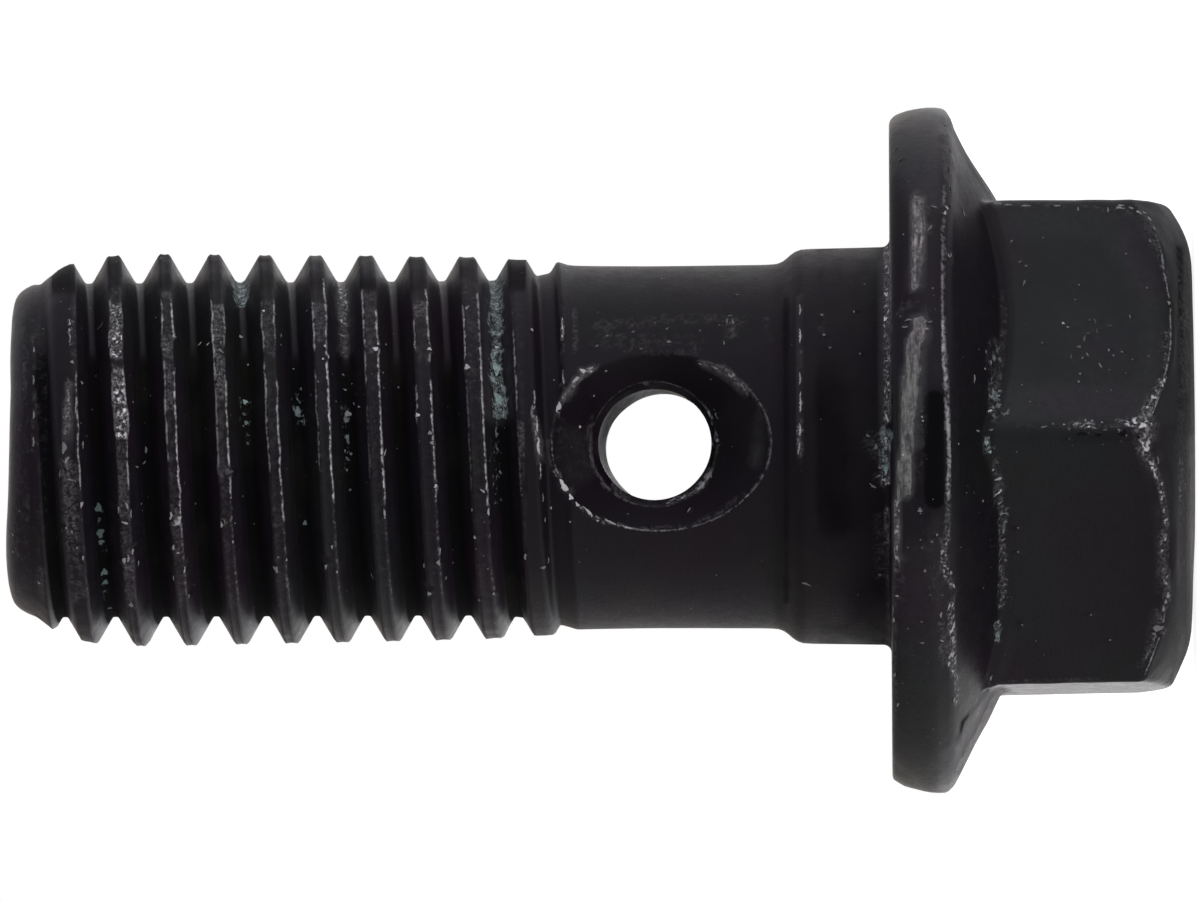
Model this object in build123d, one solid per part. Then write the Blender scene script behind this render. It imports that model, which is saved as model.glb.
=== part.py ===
from build123d import *
import os
from math import cos, sin, tan, pi, radians, sqrt

# Banjo bolt: a hollow hex flange bolt that clamps a ring fitting and lets a
# fluid pass from its axial bore out through a cross hole under the head.
# One piece: cold headed, thread rolled, then drilled.
#
# Frame: millimetres. The bolt axis is Z. The origin is the centre of the
# flange's bearing face. +Z runs along the shank to the threaded tip, and the
# hex head is on the -Z side. The cross hole runs along Y.

# ---------------------------------------------------------------- dimensions
# shank, all heights above the bearing face
length_under_head = 21.9     # bearing face to tip
collar_r = 4.91              # plain collar beside the flange
collar_top_z = 2.02          # where the shoulder starts to fall away
shoulder_mid_r = 4.72
shoulder_mid_z = 2.50
waist_z = 2.86               # start of the reduced shank
waist_r = 4.50               # reduced shank that the cross hole goes through
waist_end_z = 8.10           # end of the reduced shank, start of the thread
collar_fillet = 0.20         # root fillet between collar and bearing face
shoulder_fillet = 0.35

# rolled thread, M10 x 1.25, right hand
pitch = 1.25
crest_r = 4.86               # full crest
crest_full_z0 = 12.6         # the crests fade out below this height
crest_mid_r = 4.70
crest_mid_z = 9.40
crest_lead_z = 18.7          # the crests taper off above this height
crest_lead_r = 4.78
crest_lead_end_z = 19.85
chamfer_r = 4.45
chamfer_z = 20.83
root_r = 4.15
root_half_width = 0.07       # half of the flat at the bottom of the groove
flank_angle = 30.0           # each flank, from the plane across the axis
thread_phase_z = 19.24       # a crest's height on the +X side
runout_turns = 0.70          # the groove climbs out over this much of a turn

# tip
pilot_r = 4.09
pilot_z = 21.19              # where the pilot meets the chamfer
tip_round = 0.40

# flange
flange_r = 8.50
rim_height = 1.35            # cylindrical rim, before its edges are rounded
rim_round_seat = 0.34
rim_round_back = 0.45
cone_angle = 29.0            # sloping back of the flange, from the bearing plane

# hex head
hex_af = 11.95               # across flats
hex_corner_round = 0.35
hex_turn = 2.5               # a corner's angle from -Y towards +X, in degrees
head_height = 7.52           # bearing face to head top
head_chamfer_angle = 30.0    # conical chamfer on the head's top edge
head_top_r = 5.10            # flat on top of the head
head_top_round = 0.45

# fluid passages
bore_r = 2.25                # axial bore, from the tip
bore_depth = 18.2
bore_point_angle = 118.0
bore_mouth = 0.25            # small chamfer at the bore's mouth
port_z = 5.77                # cross hole's height above the bearing face
port_r = 1.38                # cross hole, through both walls
port_sink_r = 2.77           # 90 degree countersink, radius at the waist's surface

# ---------------------------------------------------------------- blank
# Half section of the turned form in the X-Z plane: shank, collar and flange.
rim_back_z = -rim_height
hex_core_r = 5.2
cone_in_z = rim_back_z - (flange_r - hex_core_r) * tan(radians(cone_angle))

outline = Polyline(
    (0, length_under_head),
    (pilot_r, length_under_head),
    (pilot_r, pilot_z),
    (chamfer_r, chamfer_z),
    (crest_lead_r, crest_lead_end_z),
    (crest_r, crest_lead_z),
    (crest_r, crest_full_z0),
    (crest_mid_r, crest_mid_z),
    (waist_r, waist_end_z),
    (waist_r, waist_z),
    (shoulder_mid_r, shoulder_mid_z),
    (collar_r, collar_top_z),
    (collar_r, 0),
    (flange_r, 0),
    (flange_r, rim_back_z),
    (hex_core_r, cone_in_z),
    (0, cone_in_z),
    (0, length_under_head),
)
section = make_face(outline)


def corner(face, r, z):
    """The section's corner nearest to (r, z)."""
    return face.vertices().sort_by_distance((r, z, 0))[0]


section = fillet(corner(section, pilot_r, length_under_head), tip_round)
section = fillet(corner(section, shoulder_mid_r, shoulder_mid_z), shoulder_fillet)
section = fillet(corner(section, collar_r, collar_top_z), shoulder_fillet)
section = fillet(corner(section, waist_r, waist_z), shoulder_fillet)
section = fillet(corner(section, collar_r, 0), collar_fillet)
section = fillet(corner(section, flange_r, 0), rim_round_seat)
section = fillet(corner(section, flange_r, rim_back_z), rim_round_back)

to_xz = Plane(origin=(0, 0, 0), x_dir=(1, 0, 0), z_dir=(0, -1, 0))
blank = revolve(to_xz * section, Axis.Z, 360)

# ---------------------------------------------------------------- hex head
hex_r = hex_af / 2 / cos(radians(30))
hex_sketch = RegularPolygon(hex_r, 6, major_radius=True)
hex_sketch = fillet(hex_sketch.vertices(), hex_corner_round)
# a corner of the polygon starts at +X; turn it to -Y, then by hex_turn
hex_sketch = Rot(0, 0, -90 + hex_turn) * hex_sketch
hex_start_z = cone_in_z + 1.8
prism = extrude(Pos(0, 0, -head_height) * hex_sketch, amount=head_height + hex_start_z)

chamfer_out_r = hex_r + 1.0
dome_outline = Polyline(
    (0, -head_height),
    (head_top_r, -head_height),
    (chamfer_out_r, -head_height + (chamfer_out_r - head_top_r) * tan(radians(head_chamfer_angle))),
    (chamfer_out_r, hex_start_z + 1),
    (0, hex_start_z + 1),
    (0, -head_height),
)
dome_face = fillet(corner(make_face(dome_outline), head_top_r, -head_height), head_top_round)
dome = revolve(to_xz * dome_face, Axis.Z, 360)
head = prism & dome

body = blank + head

# ---------------------------------------------------------------- thread groove
# One helical groove, cut half a turn at a time out of the crest envelope. Each
# length is a closed solid of four ruled faces between four helical edges. The
# groove starts beyond the chamfer, in the open, and near the waist its bottom
# climbs until it leaves the surface.
outer_r = 5.05               # clear of the crests, short of the next turn
points_per_turn = 24
first_turn_z = thread_phase_z + pitch / 2    # groove's height on the +X side
full_end_z = waist_end_z + 1.05              # the run-out starts here
groove_top_z = 22.4

turn_full = round((full_end_z - first_turn_z) / pitch * 4) / 4
turn_out = turn_full - runout_turns
turn_top = turn_full + 0.5 * int((groove_top_z - full_end_z) / pitch * 2 + 1)
climb = waist_r + 0.12 - root_r
half_outer = root_half_width + (outer_r - root_r) * tan(radians(flank_angle))


def rise(turn):
    """How far the groove's bottom has climbed."""
    if turn >= turn_full:
        return 0.0
    t = (turn_full - turn) / runout_turns
    return climb * (3 * t * t - 2 * t * t * t)


def rail(start, end, radius_of, offset_of):
    """A helical edge from one turn count to another."""
    count = max(4, int(round((end - start) * points_per_turn)))
    pts = []
    for i in range(count + 1):
        turn = start + (end - start) * i / count
        r = radius_of(turn)
        a = 2 * pi * turn
        pts.append((r * cos(a), r * sin(a), first_turn_z + pitch * turn + offset_of(turn)))
    return Spline(*pts).edge()


def groove_length(start, end):
    def bottom(turn):
        return root_r + rise(turn)

    def top(turn):
        return half_outer - rise(turn) * tan(radians(flank_angle))

    root_lo = rail(start, end, bottom, lambda t: -root_half_width)
    root_hi = rail(start, end, bottom, lambda t: root_half_width)
    out_hi = rail(start, end, lambda t: outer_r, top)
    out_lo = rail(start, end, lambda t: outer_r, lambda t: -top(t))
    ring = (root_lo, root_hi, out_hi, out_lo)
    faces = [Face.make_surface_from_curves(ring[i], ring[(i + 1) % 4]) for i in range(4)]
    for at in (0, 1):
        corners = [e @ at for e in ring]
        faces.append(make_face(Polyline(*corners, corners[0])).face())
    return Solid(Shell(faces))


turns = [turn_out, turn_full]
while turns[-1] < turn_top - 1e-9:
    turns.append(turns[-1] + 0.5)
for start, end in zip(turns[:-1], turns[1:]):
    body = body - groove_length(start, end)

# ---------------------------------------------------------------- passages
point_len = bore_r / tan(radians(bore_point_angle / 2))
bore_bottom_z = length_under_head - bore_depth
bore_outline = Polyline(
    (0, length_under_head + 1),
    (bore_r + bore_mouth + 1, length_under_head + 1),
    (bore_r, length_under_head - bore_mouth),
    (bore_r, bore_bottom_z),
    (0, bore_bottom_z - point_len),
    (0, length_under_head + 1),
)
bore = revolve(to_xz * make_face(bore_outline), Axis.Z, 360)

port = Pos(0, 0, port_z) * Rot(90, 0, 0) * Cylinder(port_r, 4 * waist_r)
sink_len = port_sink_r - port_r
sinks = []
for side in (-1, 1):
    # cone that is port_r wide at its small end and grows outwards at 45 degrees
    over = 1.5
    cone_outline = Polyline(
        (0, waist_r - sink_len),
        (port_r, waist_r - sink_len),
        (port_sink_r + over, waist_r + over),
        (0, waist_r + over),
        (0, waist_r - sink_len),
    )
    cone = revolve(to_xz * make_face(cone_outline), Axis.Z, 360)
    # turn the cone's own +Z to -Y or +Y
    sinks.append(Pos(0, 0, port_z) * Rot(90 if side < 0 else -90, 0, 0) * cone)

body = body - bore - port - sinks[0] - sinks[1]

bolt = body.solids().sort_by(SortBy.VOLUME)[-1]
bolt.label = "banjo_bolt"
print("solids", len(body.solids()), "valid", bolt.is_valid, "volume", round(bolt.volume, 2))
print("box", bolt.bounding_box())

os.makedirs("parts", exist_ok=True)
export_step(bolt, "parts/banjo_bolt.step")
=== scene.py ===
"""Looks of the banjo bolt: one detailed mesh that stands for the CAD node, its worn black
finish, a white tent of light, a pale floor and the camera."""
import bpy
import math
import numpy as np
from mathutils import Matrix, Vector
from mathutils.geometry import delaunay_2d_cdt


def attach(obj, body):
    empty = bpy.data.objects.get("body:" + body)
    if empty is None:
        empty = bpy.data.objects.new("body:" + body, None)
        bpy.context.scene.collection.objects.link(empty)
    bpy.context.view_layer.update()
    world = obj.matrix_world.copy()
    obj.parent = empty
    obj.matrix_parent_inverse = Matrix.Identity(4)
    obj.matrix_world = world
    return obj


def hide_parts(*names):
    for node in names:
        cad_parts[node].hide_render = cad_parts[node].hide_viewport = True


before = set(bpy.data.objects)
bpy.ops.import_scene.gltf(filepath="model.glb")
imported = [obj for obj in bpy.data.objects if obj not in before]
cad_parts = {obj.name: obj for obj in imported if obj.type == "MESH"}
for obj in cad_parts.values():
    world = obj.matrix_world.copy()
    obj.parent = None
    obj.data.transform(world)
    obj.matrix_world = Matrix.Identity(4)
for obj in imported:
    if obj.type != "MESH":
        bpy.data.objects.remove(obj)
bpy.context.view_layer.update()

pi = math.pi
rad = math.radians


# ------------------------------------------------------------------ noise
def _hash(ix, iy, iz, seed):
    h = (ix * 374761393 + iy * 668265263 + iz * 2147483647 + seed * 1274126177) & 0xFFFFFFFF
    h = ((h ^ (h >> 13)) * 1274126177) & 0xFFFFFFFF
    h = h ^ (h >> 16)
    return (h & 0xFFFFFF) / float(0xFFFFFF) * 2.0 - 1.0


def noise(p, scale, seed=0):
    """Smooth value noise, about -1 to 1, of points p (n, 3) with cells of 1/scale."""
    q = np.asarray(p, float) * scale + 1000.0
    i = np.floor(q).astype(np.int64)
    f = q - i
    f = f * f * f * (f * (f * 6 - 15) + 10)
    out = np.zeros(len(q))
    for dx in (0, 1):
        for dy in (0, 1):
            for dz in (0, 1):
                w = (f[:, 0] if dx else 1 - f[:, 0]) * (f[:, 1] if dy else 1 - f[:, 1]) * (f[:, 2] if dz else 1 - f[:, 2])
                out += w * _hash(i[:, 0] + dx, i[:, 1] + dy, i[:, 2] + dz, seed)
    return out


def fractal(p, scale, octaves=3, seed=0):
    s, a, tot = np.zeros(len(p)), 1.0, 0.0
    for o in range(octaves):
        s += a * noise(p, scale * 2 ** o, seed + 17 * o)
        tot += a
        a *= 0.5
    return s / tot


def smin(a, b, k):
    h = np.clip(0.5 + 0.5 * (b - a) / k, 0, 1)
    return b * (1 - h) + a * h - k * h * (1 - h)


def smax(a, b, k):
    return -smin(-a, -b, k)


def step01(x, lo, hi):
    t = np.clip((x - lo) / (hi - lo), 0, 1)
    return t * t * (3 - 2 * t)


# ------------------------------------------------------------------ dimensions, mm
P = 1.25                      # thread pitch
Z_CREST = 19.24               # height of a crest on the +X side
R_REF = 4.865                 # radius at which the crest's half width is HC_REF
HC_REF = 0.118
TAN_FLANK = 1.0 / math.tan(rad(30))
TIP_Z = 21.9
HEAD_Z = -7.52
HEX_A = 5.975                 # half of the width across flats
HEX_ROUND = 0.42
HEX_TURN = 2.5
FLANGE_R = 8.5
RIM_H = 1.35
CONE = rad(29)
TOP_R = 5.10
BORE_R = 2.25
BORE_END = 3.70
BORE_POINT = 1.35
PORT_R = 1.38
STAGE_R = 1.575
SINK_R = 2.77
WAIST_R = 4.50
ECC_FLANGE = -0.105
ECC_HEX = -0.060

# the cross hole's axis leans a little: centre (x, z) on the near side at y = -3 and on the far side at y = +3
PORT_NEAR = np.array([0.075, 5.83])
PORT_FAR = np.array([-0.05, 5.70])
SINK_NEAR = np.array([0.200, 5.718])
SINK_FAR = np.array([-0.08, 5.72])

ENV = np.array([
    (1.5, 4.905), (1.8, 4.902), (2.0, 4.897), (2.2, 4.880), (2.33, 4.835), (2.45, 4.755), (2.56, 4.655), (2.68, 4.570),
    (2.80, 4.532), (2.95, 4.515), (3.3, 4.507), (4.0, 4.502), (5.0, 4.493), (6.0, 4.490), (7.0, 4.500), (7.5, 4.506),
    (7.8, 4.515), (7.98, 4.535), (8.10, 4.575), (8.20, 4.605), (8.32, 4.630), (8.57, 4.655), (9.0, 4.668), (9.25, 4.680),
    (9.85, 4.728), (10.5, 4.745), (11.8, 4.770), (13.0, 4.790), (14.3, 4.810), (15.5, 4.826), (16.8, 4.846), (18.0, 4.865),
    (18.6, 4.862), (19.27, 4.825), (19.85, 4.775), (20.15, 4.700), (20.43, 4.590), (20.60, 4.500), (20.84, 4.360), (21.00, 4.225),
    (21.10, 4.160), (21.25, 4.110), (21.36, 4.055), (21.48, 3.985), (21.60, 3.880), (21.70, 3.740), (21.78, 3.560)])


def env(z):
    return np.interp(z, ENV[:, 0], ENV[:, 1])


ROOT = np.array([(7.5, 4.56), (7.75, 4.53), (7.99, 4.45), (8.33, 4.36), (8.64, 4.285), (9.0, 4.225), (9.35, 4.185), (9.9, 4.155), (12.0, 4.145), (21.9, 4.135)])


def root_r(z):
    return np.interp(z, ROOT[:, 0], ROOT[:, 1])


def crest_offset(phi, z):
    """Signed height from the nearest crest's centre line."""
    u = (z - Z_CREST - P * phi / (2 * pi)) / P
    return (u - np.round(u)) * P


def half_crest(zc):
    return HC_REF + (R_REF - np.clip(env(zc), 4.6, R_REF)) / TAN_FLANK


def body_r(phi, z):
    """Radius of the shank's surface: crests' envelope, cut by the thread's groove."""
    d = np.abs(crest_offset(phi, z))
    e = env(z) - 0.050 * np.cos(phi) * step01(z, 20.55, 20.85) * (1 - step01(z, 21.05, 21.25))
    # height of the groove's own centre line, so that the run-out follows the helix
    flank = R_REF - TAN_FLANK * (d - HC_REF)
    groove = smax(flank, root_r(z), 0.075)
    hc = half_crest(z)
    dip = 0.014 * np.clip(1 - (d / np.maximum(hc - 0.03, 0.05)) ** 2, 0, 1) * step01(z, 8.6, 9.6) * (1 - step01(z, 20.2, 20.6))
    groove = np.where(z < 7.3, 99.0, groove)
    r = smin(e - dip, groove, 0.030)
    return r


# ------------------------------------------------------------------ camera: along +Y at the standing bolt, rolled so that the tip points left
DIST, PXMM = 600.0, 40.32
yaw, roll = rad(0.65), rad(0.32)
Zc = Vector((-math.cos(yaw) * math.cos(roll), -math.cos(yaw) * math.sin(roll), -math.sin(yaw)))
Xc = Vector((-math.sin(roll), math.cos(roll), 0))
Yc = Zc.cross(Xc)
M = Matrix((Xc, Yc, Zc)).transposed()      # world to camera
ox, oy = (890.5 - 600.0) / PXMM, (450.5 - 446.1) / PXMM
C = -(M.transposed() @ Vector((ox, oy, -DIST)))
M_np, C_np = np.array(M), np.array(C)


def pixels(p):
    """Where points (n, 3) in mm fall in the 1200 x 901 frame."""
    q = (np.asarray(p, float) - C_np) @ M_np.T
    f = DIST * PXMM
    return np.stack([600 + f * q[:, 0] / -q[:, 2], 450.5 - f * q[:, 1] / -q[:, 2]], 1)


# ------------------------------------------------------------------ mesh store
V, F = [], []                 # vertex arrays, triangle or quad tuples
ZONE, EDGE = [], []           # per vertex: zone number, distance in mm to the nearest edge that wears
count = 0


def add(points, zone, edge=9.0):
    global count
    points = np.asarray(points, float).reshape(-1, 3)
    V.append(points)
    ZONE.append(np.full(len(points), float(zone)))
    EDGE.append(np.broadcast_to(np.asarray(edge, float), (len(points),)).copy())
    ids = np.arange(count, count + len(points))
    count += len(points)
    return ids


def quads(a, b):
    """Closed strip between two rings of equal count; a is the ring nearer the tip."""
    n = len(a)
    for i in range(n):
        k = (i + 1) % n
        F.append((a[i], b[i], b[k], a[k]))


def ring(r, z, cols, zone, edge=9.0):
    r = np.broadcast_to(np.asarray(r, float), cols.shape)
    z = np.broadcast_to(np.asarray(z, float), cols.shape)
    return add(np.stack([r * np.cos(cols), r * np.sin(cols), z], 1), zone, edge)


def arc(p0, p1, p2, radius, n):
    """Points of the arc that rounds corner p1 between p0 and p2, as offsets from p1."""
    p0, p1, p2 = (np.asarray(p, float) for p in (p0, p1, p2))
    a, b = (p0 - p1) / np.linalg.norm(p0 - p1), (p2 - p1) / np.linalg.norm(p2 - p1)
    half = math.acos(float(np.clip(a @ b, -1, 1))) / 2
    t = radius / math.tan(half)
    bis = (a + b) / np.linalg.norm(a + b)
    c = bis * radius / math.sin(half)
    s, e = a * t - c, b * t - c
    out = []
    for i in range(n):
        w = i / (n - 1)
        om = math.acos(float(np.clip(s @ e / radius ** 2, -1, 1)))
        out.append(c + (math.sin((1 - w) * om) * s + math.sin(w * om) * e) / math.sin(om))
    return np.array(out)


# ------------------------------------------------------------------ columns
corner0 = -90 + HEX_TURN
offs = [-3.2, -2.35, -1.75, -1.25, -0.75, -0.25, 0.25, 0.75, 1.25, 1.75, 2.35, 3.2]
span = 60 - 6.4
inner = [3.2 + span * i / 33 for i in range(1, 33)]
cols = []
for k in range(6):
    cols += [(corner0 + 60 * k + o) % 360 for o in offs + inner]
cols = np.radians(np.array(sorted(cols)))
N = len(cols)


def hex_r(phi):
    deg_ = np.degrees(phi) - corner0
    n_corner = np.round(deg_ / 60)
    d = np.radians(deg_ - 60 * n_corner)
    rho = np.where(n_corner % 6 == 5, 0.09, HEX_ROUND)
    flat = HEX_A / np.cos(rad(30) - np.abs(d))
    c = (HEX_A - rho) / math.cos(rad(30))
    dt = np.arctan2(rho * 0.5, c + rho * math.cos(rad(30)))
    rnd = c * np.cos(d) + np.sqrt(np.maximum(rho ** 2 - (c * np.sin(d)) ** 2, 0))
    return np.where(np.abs(d) < dt, rnd, flat)


def hex_corner_mm(phi):
    """Distance from the nearest hex corner line, in mm round the head."""
    d = np.degrees(phi) - corner0
    return np.abs(np.radians(d - 60 * np.round(d / 60))) * 6.8


# ------------------------------------------------------------------ thread: rows follow the helix
Z_A, Z_B = 9.02, 21.20
OFFS = 16


def row_offset(k, hc):
    a, b = hc + 0.028, 0.500
    return {0: -P / 2, 1: -0.588, 2: -0.546, 3: -b, 4: -(0.5 * a + 0.5 * b), 5: -a, 6: -(hc - 0.018), 7: -0.55 * hc, 8: 0.0,
            9: 0.55 * hc, 10: hc - 0.018, 11: a, 12: 0.5 * a + 0.5 * b, 13: b, 14: 0.546, 15: 0.588}[k]


ring_a = ring(body_r(cols, Z_A), Z_A, cols, 1, 9.0)
ring_b = ring(body_r(cols, Z_B), Z_B, cols, 1, 9.0)
col_rows = []                 # for each column, {row number: vertex id}
m_lo, m_hi = -10, 4
eps = 0.014
pts, eds, slots = [], [], []
for j, phi in enumerate(cols):
    rows = {}
    for m in range(m_lo, m_hi):
        zc = Z_CREST + P * phi / (2 * pi) + P * m
        hc = float(half_crest(zc))
        for k in range(OFFS):
            z = zc + float(row_offset(k, hc))
            if Z_A + eps < z < Z_B - eps:
                rows[m * OFFS + k] = len(pts)
                pts.append((phi, z))
                d = abs(float(row_offset(k, hc)))
                eds.append(abs(d - hc) if d > hc * 0.3 else hc)
    col_rows.append(rows)
pts = np.array(pts)
rr = body_r(pts[:, 0], pts[:, 1])
ids = add(np.stack([rr * np.cos(pts[:, 0]), rr * np.sin(pts[:, 0]), pts[:, 1]], 1), 1, np.array(eds))
col_rows = [{q: int(ids[i]) for q, i in rows.items()} for rows in col_rows]


def fan(poly):
    for i in range(1, len(poly) - 1):
        F.append((poly[0], poly[i], poly[i + 1]))


for j in range(N):
    left = col_rows[j]
    k = (j + 1) % N
    right = col_rows[k] if k else {q - OFFS: v for q, v in col_rows[0].items()}
    a0, a1, b0, b1 = ring_a[j], ring_a[k], ring_b[j], ring_b[k]
    lo = max(min(left), min(right))
    hi = min(max(left), max(right))
    for q in range(lo, hi):
        F.append((left[q], right[q], right[q + 1], left[q + 1]))
    below = [right[q] for q in range(min(right), lo)]
    below_l = [left[q] for q in range(min(left), lo)]
    fan([right[lo]] + [left[lo]] + below_l[::-1] + [a0, a1] + below)
    above = [right[q] for q in range(max(right), hi, -1)]
    above_l = [left[q] for q in range(hi + 1, max(left) + 1)]
    fan([left[hi], right[hi]] + above[::-1] + [b1, b0] + above_l[::-1])

# ------------------------------------------------------------------ tip: from the helix rows' end ring to the bore's mouth
TIP = [(21.25, 4.110), (21.32, 4.082), (21.40, 4.040), (21.48, 3.985), (21.55, 3.930), (21.62, 3.860), (21.69, 3.765),
       (21.745, 3.650), (21.79, 3.52), (21.825, 3.36), (21.85, 3.18), (21.868, 2.98)]
prev = ring_b
tip_first = None
for i, (z, r) in enumerate(TIP):
    cur = ring(r, z, cols, 2, abs(r - 3.86))
    quads(cur, prev)
    prev = cur
tip_outer = prev

NB = 96
bcols = np.arange(NB) * 2 * pi / NB
mouth = [(21.885, 2.72), (21.884, 2.58), (21.872, 2.50), (21.80, 2.405), (21.70, 2.305), (21.655, 2.262), (21.60, 2.25)]
b_prev = None
b_first = None
for z, r in mouth:
    cur = ring(r, z, bcols, 3, abs(r - 2.45))
    if b_prev is not None:
        quads(cur, b_prev)
    else:
        b_first = cur
    b_prev = cur
# annulus between the two different column counts
pa = np.concatenate(V)[tip_outer][:, :2]
pb = np.concatenate(V)[b_first][:, :2]
co = [Vector(p) for p in np.vstack([pa, pb])]
ed = [(i, (i + 1) % N) for i in range(N)] + [(N + i, N + (i + 1) % NB) for i in range(NB)]
cv, _, cf, vo, _, _ = delaunay_2d_cdt(co, ed, [], 0, 1e-7, True)
both = list(tip_outer) + list(b_first)
for f in cf:
    g = [vo[i][0] for i in f]
    if min(g) < N:            # not one of the triangles that would close the bore
        F.append(tuple(both[i] for i in g))

# ------------------------------------------------------------------ waist, shoulder and run-out, round the two countersinks
Z_C = 1.95                    # lower end of this zone
sc = 4.5                      # keeps angle times radius and height alike


def to_phi(x, y):
    return np.arctan2(y, x) % (2 * pi)


NT = 120                      # vertices round a hole
theta = np.arange(NT) * 2 * pi / NT


def port_centre(y_world):
    y_world = np.asarray(y_world, float)
    t = (y_world + 3.0) / 6.0
    lean = np.where(y_world < 0, np.clip(y_world + 3.0, 0, 1), 0)
    return (PORT_NEAR[0] + t * (PORT_FAR[0] - PORT_NEAR[0]) - 0.12 * lean,
            PORT_NEAR[1] + t * (PORT_FAR[1] - PORT_NEAR[1]) - 0.21 * lean)


def sink_y(x, z, centre, wob):
    rho = np.hypot(x - centre[0], z - centre[1])
    return (WAIST_R - SINK_R) + rho * wob


def body_y(x, z, side):
    """Depth of the shank's surface over (x, z); side -1 is the near side."""
    y = np.sqrt(np.maximum(4.5 ** 2 - x ** 2, 0.01))
    for _ in range(3):
        r = body_r(to_phi(x, side * y), z)
        y = np.sqrt(np.maximum(r ** 2 - x ** 2, 0.01))
    return y


sides = []
for side, centre in ((-1, SINK_NEAR), (1, SINK_FAR)):
    # outline where the countersink meets the shank
    lo, hi = np.full(NT, 1.7), np.full(NT, 3.4)
    for _ in range(40):
        mid = (lo + hi) / 2
        x, z = centre[0] + mid * np.sin(theta), centre[1] + mid * np.cos(theta)
        above = sink_y(x, z, centre, 1.0) > body_y(x, z, side)
        hi = np.where(above, mid, hi)
        lo = np.where(above, lo, mid)
    rho_e = (lo + hi) / 2
    out_pts, out_edge = [], []
    hx, hz = port_centre(side * 3.1)
    inner_x, inner_z = hx + STAGE_R * np.sin(theta), hz + STAGE_R * np.cos(theta)

    def outline(extra):
        return centre[0] + (rho_e + extra) * np.sin(theta), centre[1] + (rho_e + extra) * np.cos(theta)

    rings = []
    ex, ez = outline(-0.10)
    for w in (0.0, 0.035, 0.10, 0.25, 0.42, 0.6, 0.8):
        rings.append((inner_x + w * (ex - inner_x), inner_z + w * (ez - inner_z), w * 0.9 if w < 0.3 else None))
    for e in (-0.10, -0.05, -0.022, 0.0, 0.022, 0.05, 0.10, 0.18):
        x, z = outline(e)
        rings.append((x, z, abs(e)))
    sides.append((side, centre, rho_e, rings))

P2, P3, PE = [], [], []       # CDT points (u, z), their places in 3-D, their edge distances
E2 = []


def push(phi, r, z, e):
    P2.append((phi * sc, z))
    P3.append((r * math.cos(phi), r * math.sin(phi), z))
    PE.append(e)
    return len(P2) - 1


row_z = [2.10, 2.20, 2.28, 2.345, 2.41, 2.47, 2.53, 2.59, 2.65, 2.72, 2.80, 2.90, 3.03, 3.2]
row_z += list(np.arange(3.42, 7.5, 0.24)) + list(np.arange(7.58, 9.0, 0.058))
row_z = [z for z in row_z if Z_C + 0.03 < z < Z_A - 0.03]
cols2 = np.concatenate([cols, [cols[0] + 2 * pi]])
low, high = [], []
for j, phi in enumerate(cols2):
    low.append(push(phi, 0, Z_C, 0.3))
    high.append(push(phi, 0, Z_A, 0.3))
seam_l, seam_r = [low[0]], [low[-1]]
hole_poly = []
excl = []
for side, centre, rho_e, rings in sides:
    excl.append((side, centre, rho_e))
for z in row_z:
    r = body_r(cols2, np.full(len(cols2), z))
    x, y = r * np.cos(cols2), r * np.sin(cols2)
    keep = np.ones(len(cols2), bool)
    for side, centre, rho_e in excl:
        dx, dz = x - centre[0], z - centre[1]
        rho = np.hypot(dx, dz)
        th = np.arctan2(dx, dz) % (2 * pi)
        lim = np.interp(th, np.append(theta, 2 * pi), np.append(rho_e, rho_e[0])) + 0.18 + 0.05
        keep &= ~((np.sign(y) == side) & (rho < lim))
    d_sh = abs(z - 2.33)
    for j, phi in enumerate(cols2):
        if keep[j]:
            i = push(phi, float(r[j]), z, d_sh if z < 3 else 9.0)
            if j == 0:
                seam_l.append(i)
            if j == len(cols2) - 1:
                seam_r.append(i)
seam_l.append(high[0])
seam_r.append(high[-1])
for c in (low, high, seam_l, seam_r):
    E2 += list(zip(c[:-1], c[1:]))
hole_ids = []
for side, centre, rho_e, rings in sides:
    for n_ring, (x, z, e) in enumerate(rings):
        yb = body_y(x, z, side)
        ys = sink_y(x, z, centre, 1.0)
        y = smin(yb, ys, 0.045)
        phi = to_phi(x, side * y)
        r = np.hypot(x, y)
        first = len(P2)
        for i in range(NT):
            push(float(phi[i]), float(r[i]), float(z[i]), 9.0 if e is None else e)
        loop = list(range(first, first + NT))
        E2 += [(loop[i], loop[(i + 1) % NT]) for i in range(NT)]
        if n_ring == 0:
            hole_ids.append(loop)
            hole_poly.append([P2[i] for i in loop])
cv, _, cf, vo, _, _ = delaunay_2d_cdt([Vector(p) for p in P2], E2, [], 0, 1e-7, True)

glob = {}
n2 = len(P2)
arr3, arre = np.array(P3), np.array(PE)
for j in range(len(cols2)):
    glob[high[j]] = int(ring_a[j % N])
ring_c = ring(body_r(cols, Z_C), Z_C, cols, 4, 0.3)
for j in range(len(cols2)):
    glob[low[j]] = int(ring_c[j % N])
seam_map = dict(zip(seam_r, seam_l))
rest = [i for i in range(n2) if i not in glob and i not in seam_map]
ids = add(arr3[rest], 4, arre[rest])
for i, g in zip(rest, ids):
    glob[i] = int(g)
for r_, l_ in seam_map.items():
    if r_ not in glob:
        glob[r_] = glob[l_]
tri = np.array([[vo[i][0] for i in f] for f in cf if len(f) == 3])
cen = np.array(P2)[tri].mean(1)


def inside(points, poly):
    poly = np.asarray(poly)
    x, y = points[:, 0], points[:, 1]
    res = np.zeros(len(points), bool)
    n = len(poly)
    for i in range(n):
        x0, y0 = poly[i]
        x1, y1 = poly[(i + 1) % n]
        hit = ((y0 > y) != (y1 > y)) & (x < (x1 - x0) * (y - y0) / (y1 - y0 + 1e-15) + x0)
        res ^= hit
    return res


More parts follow.
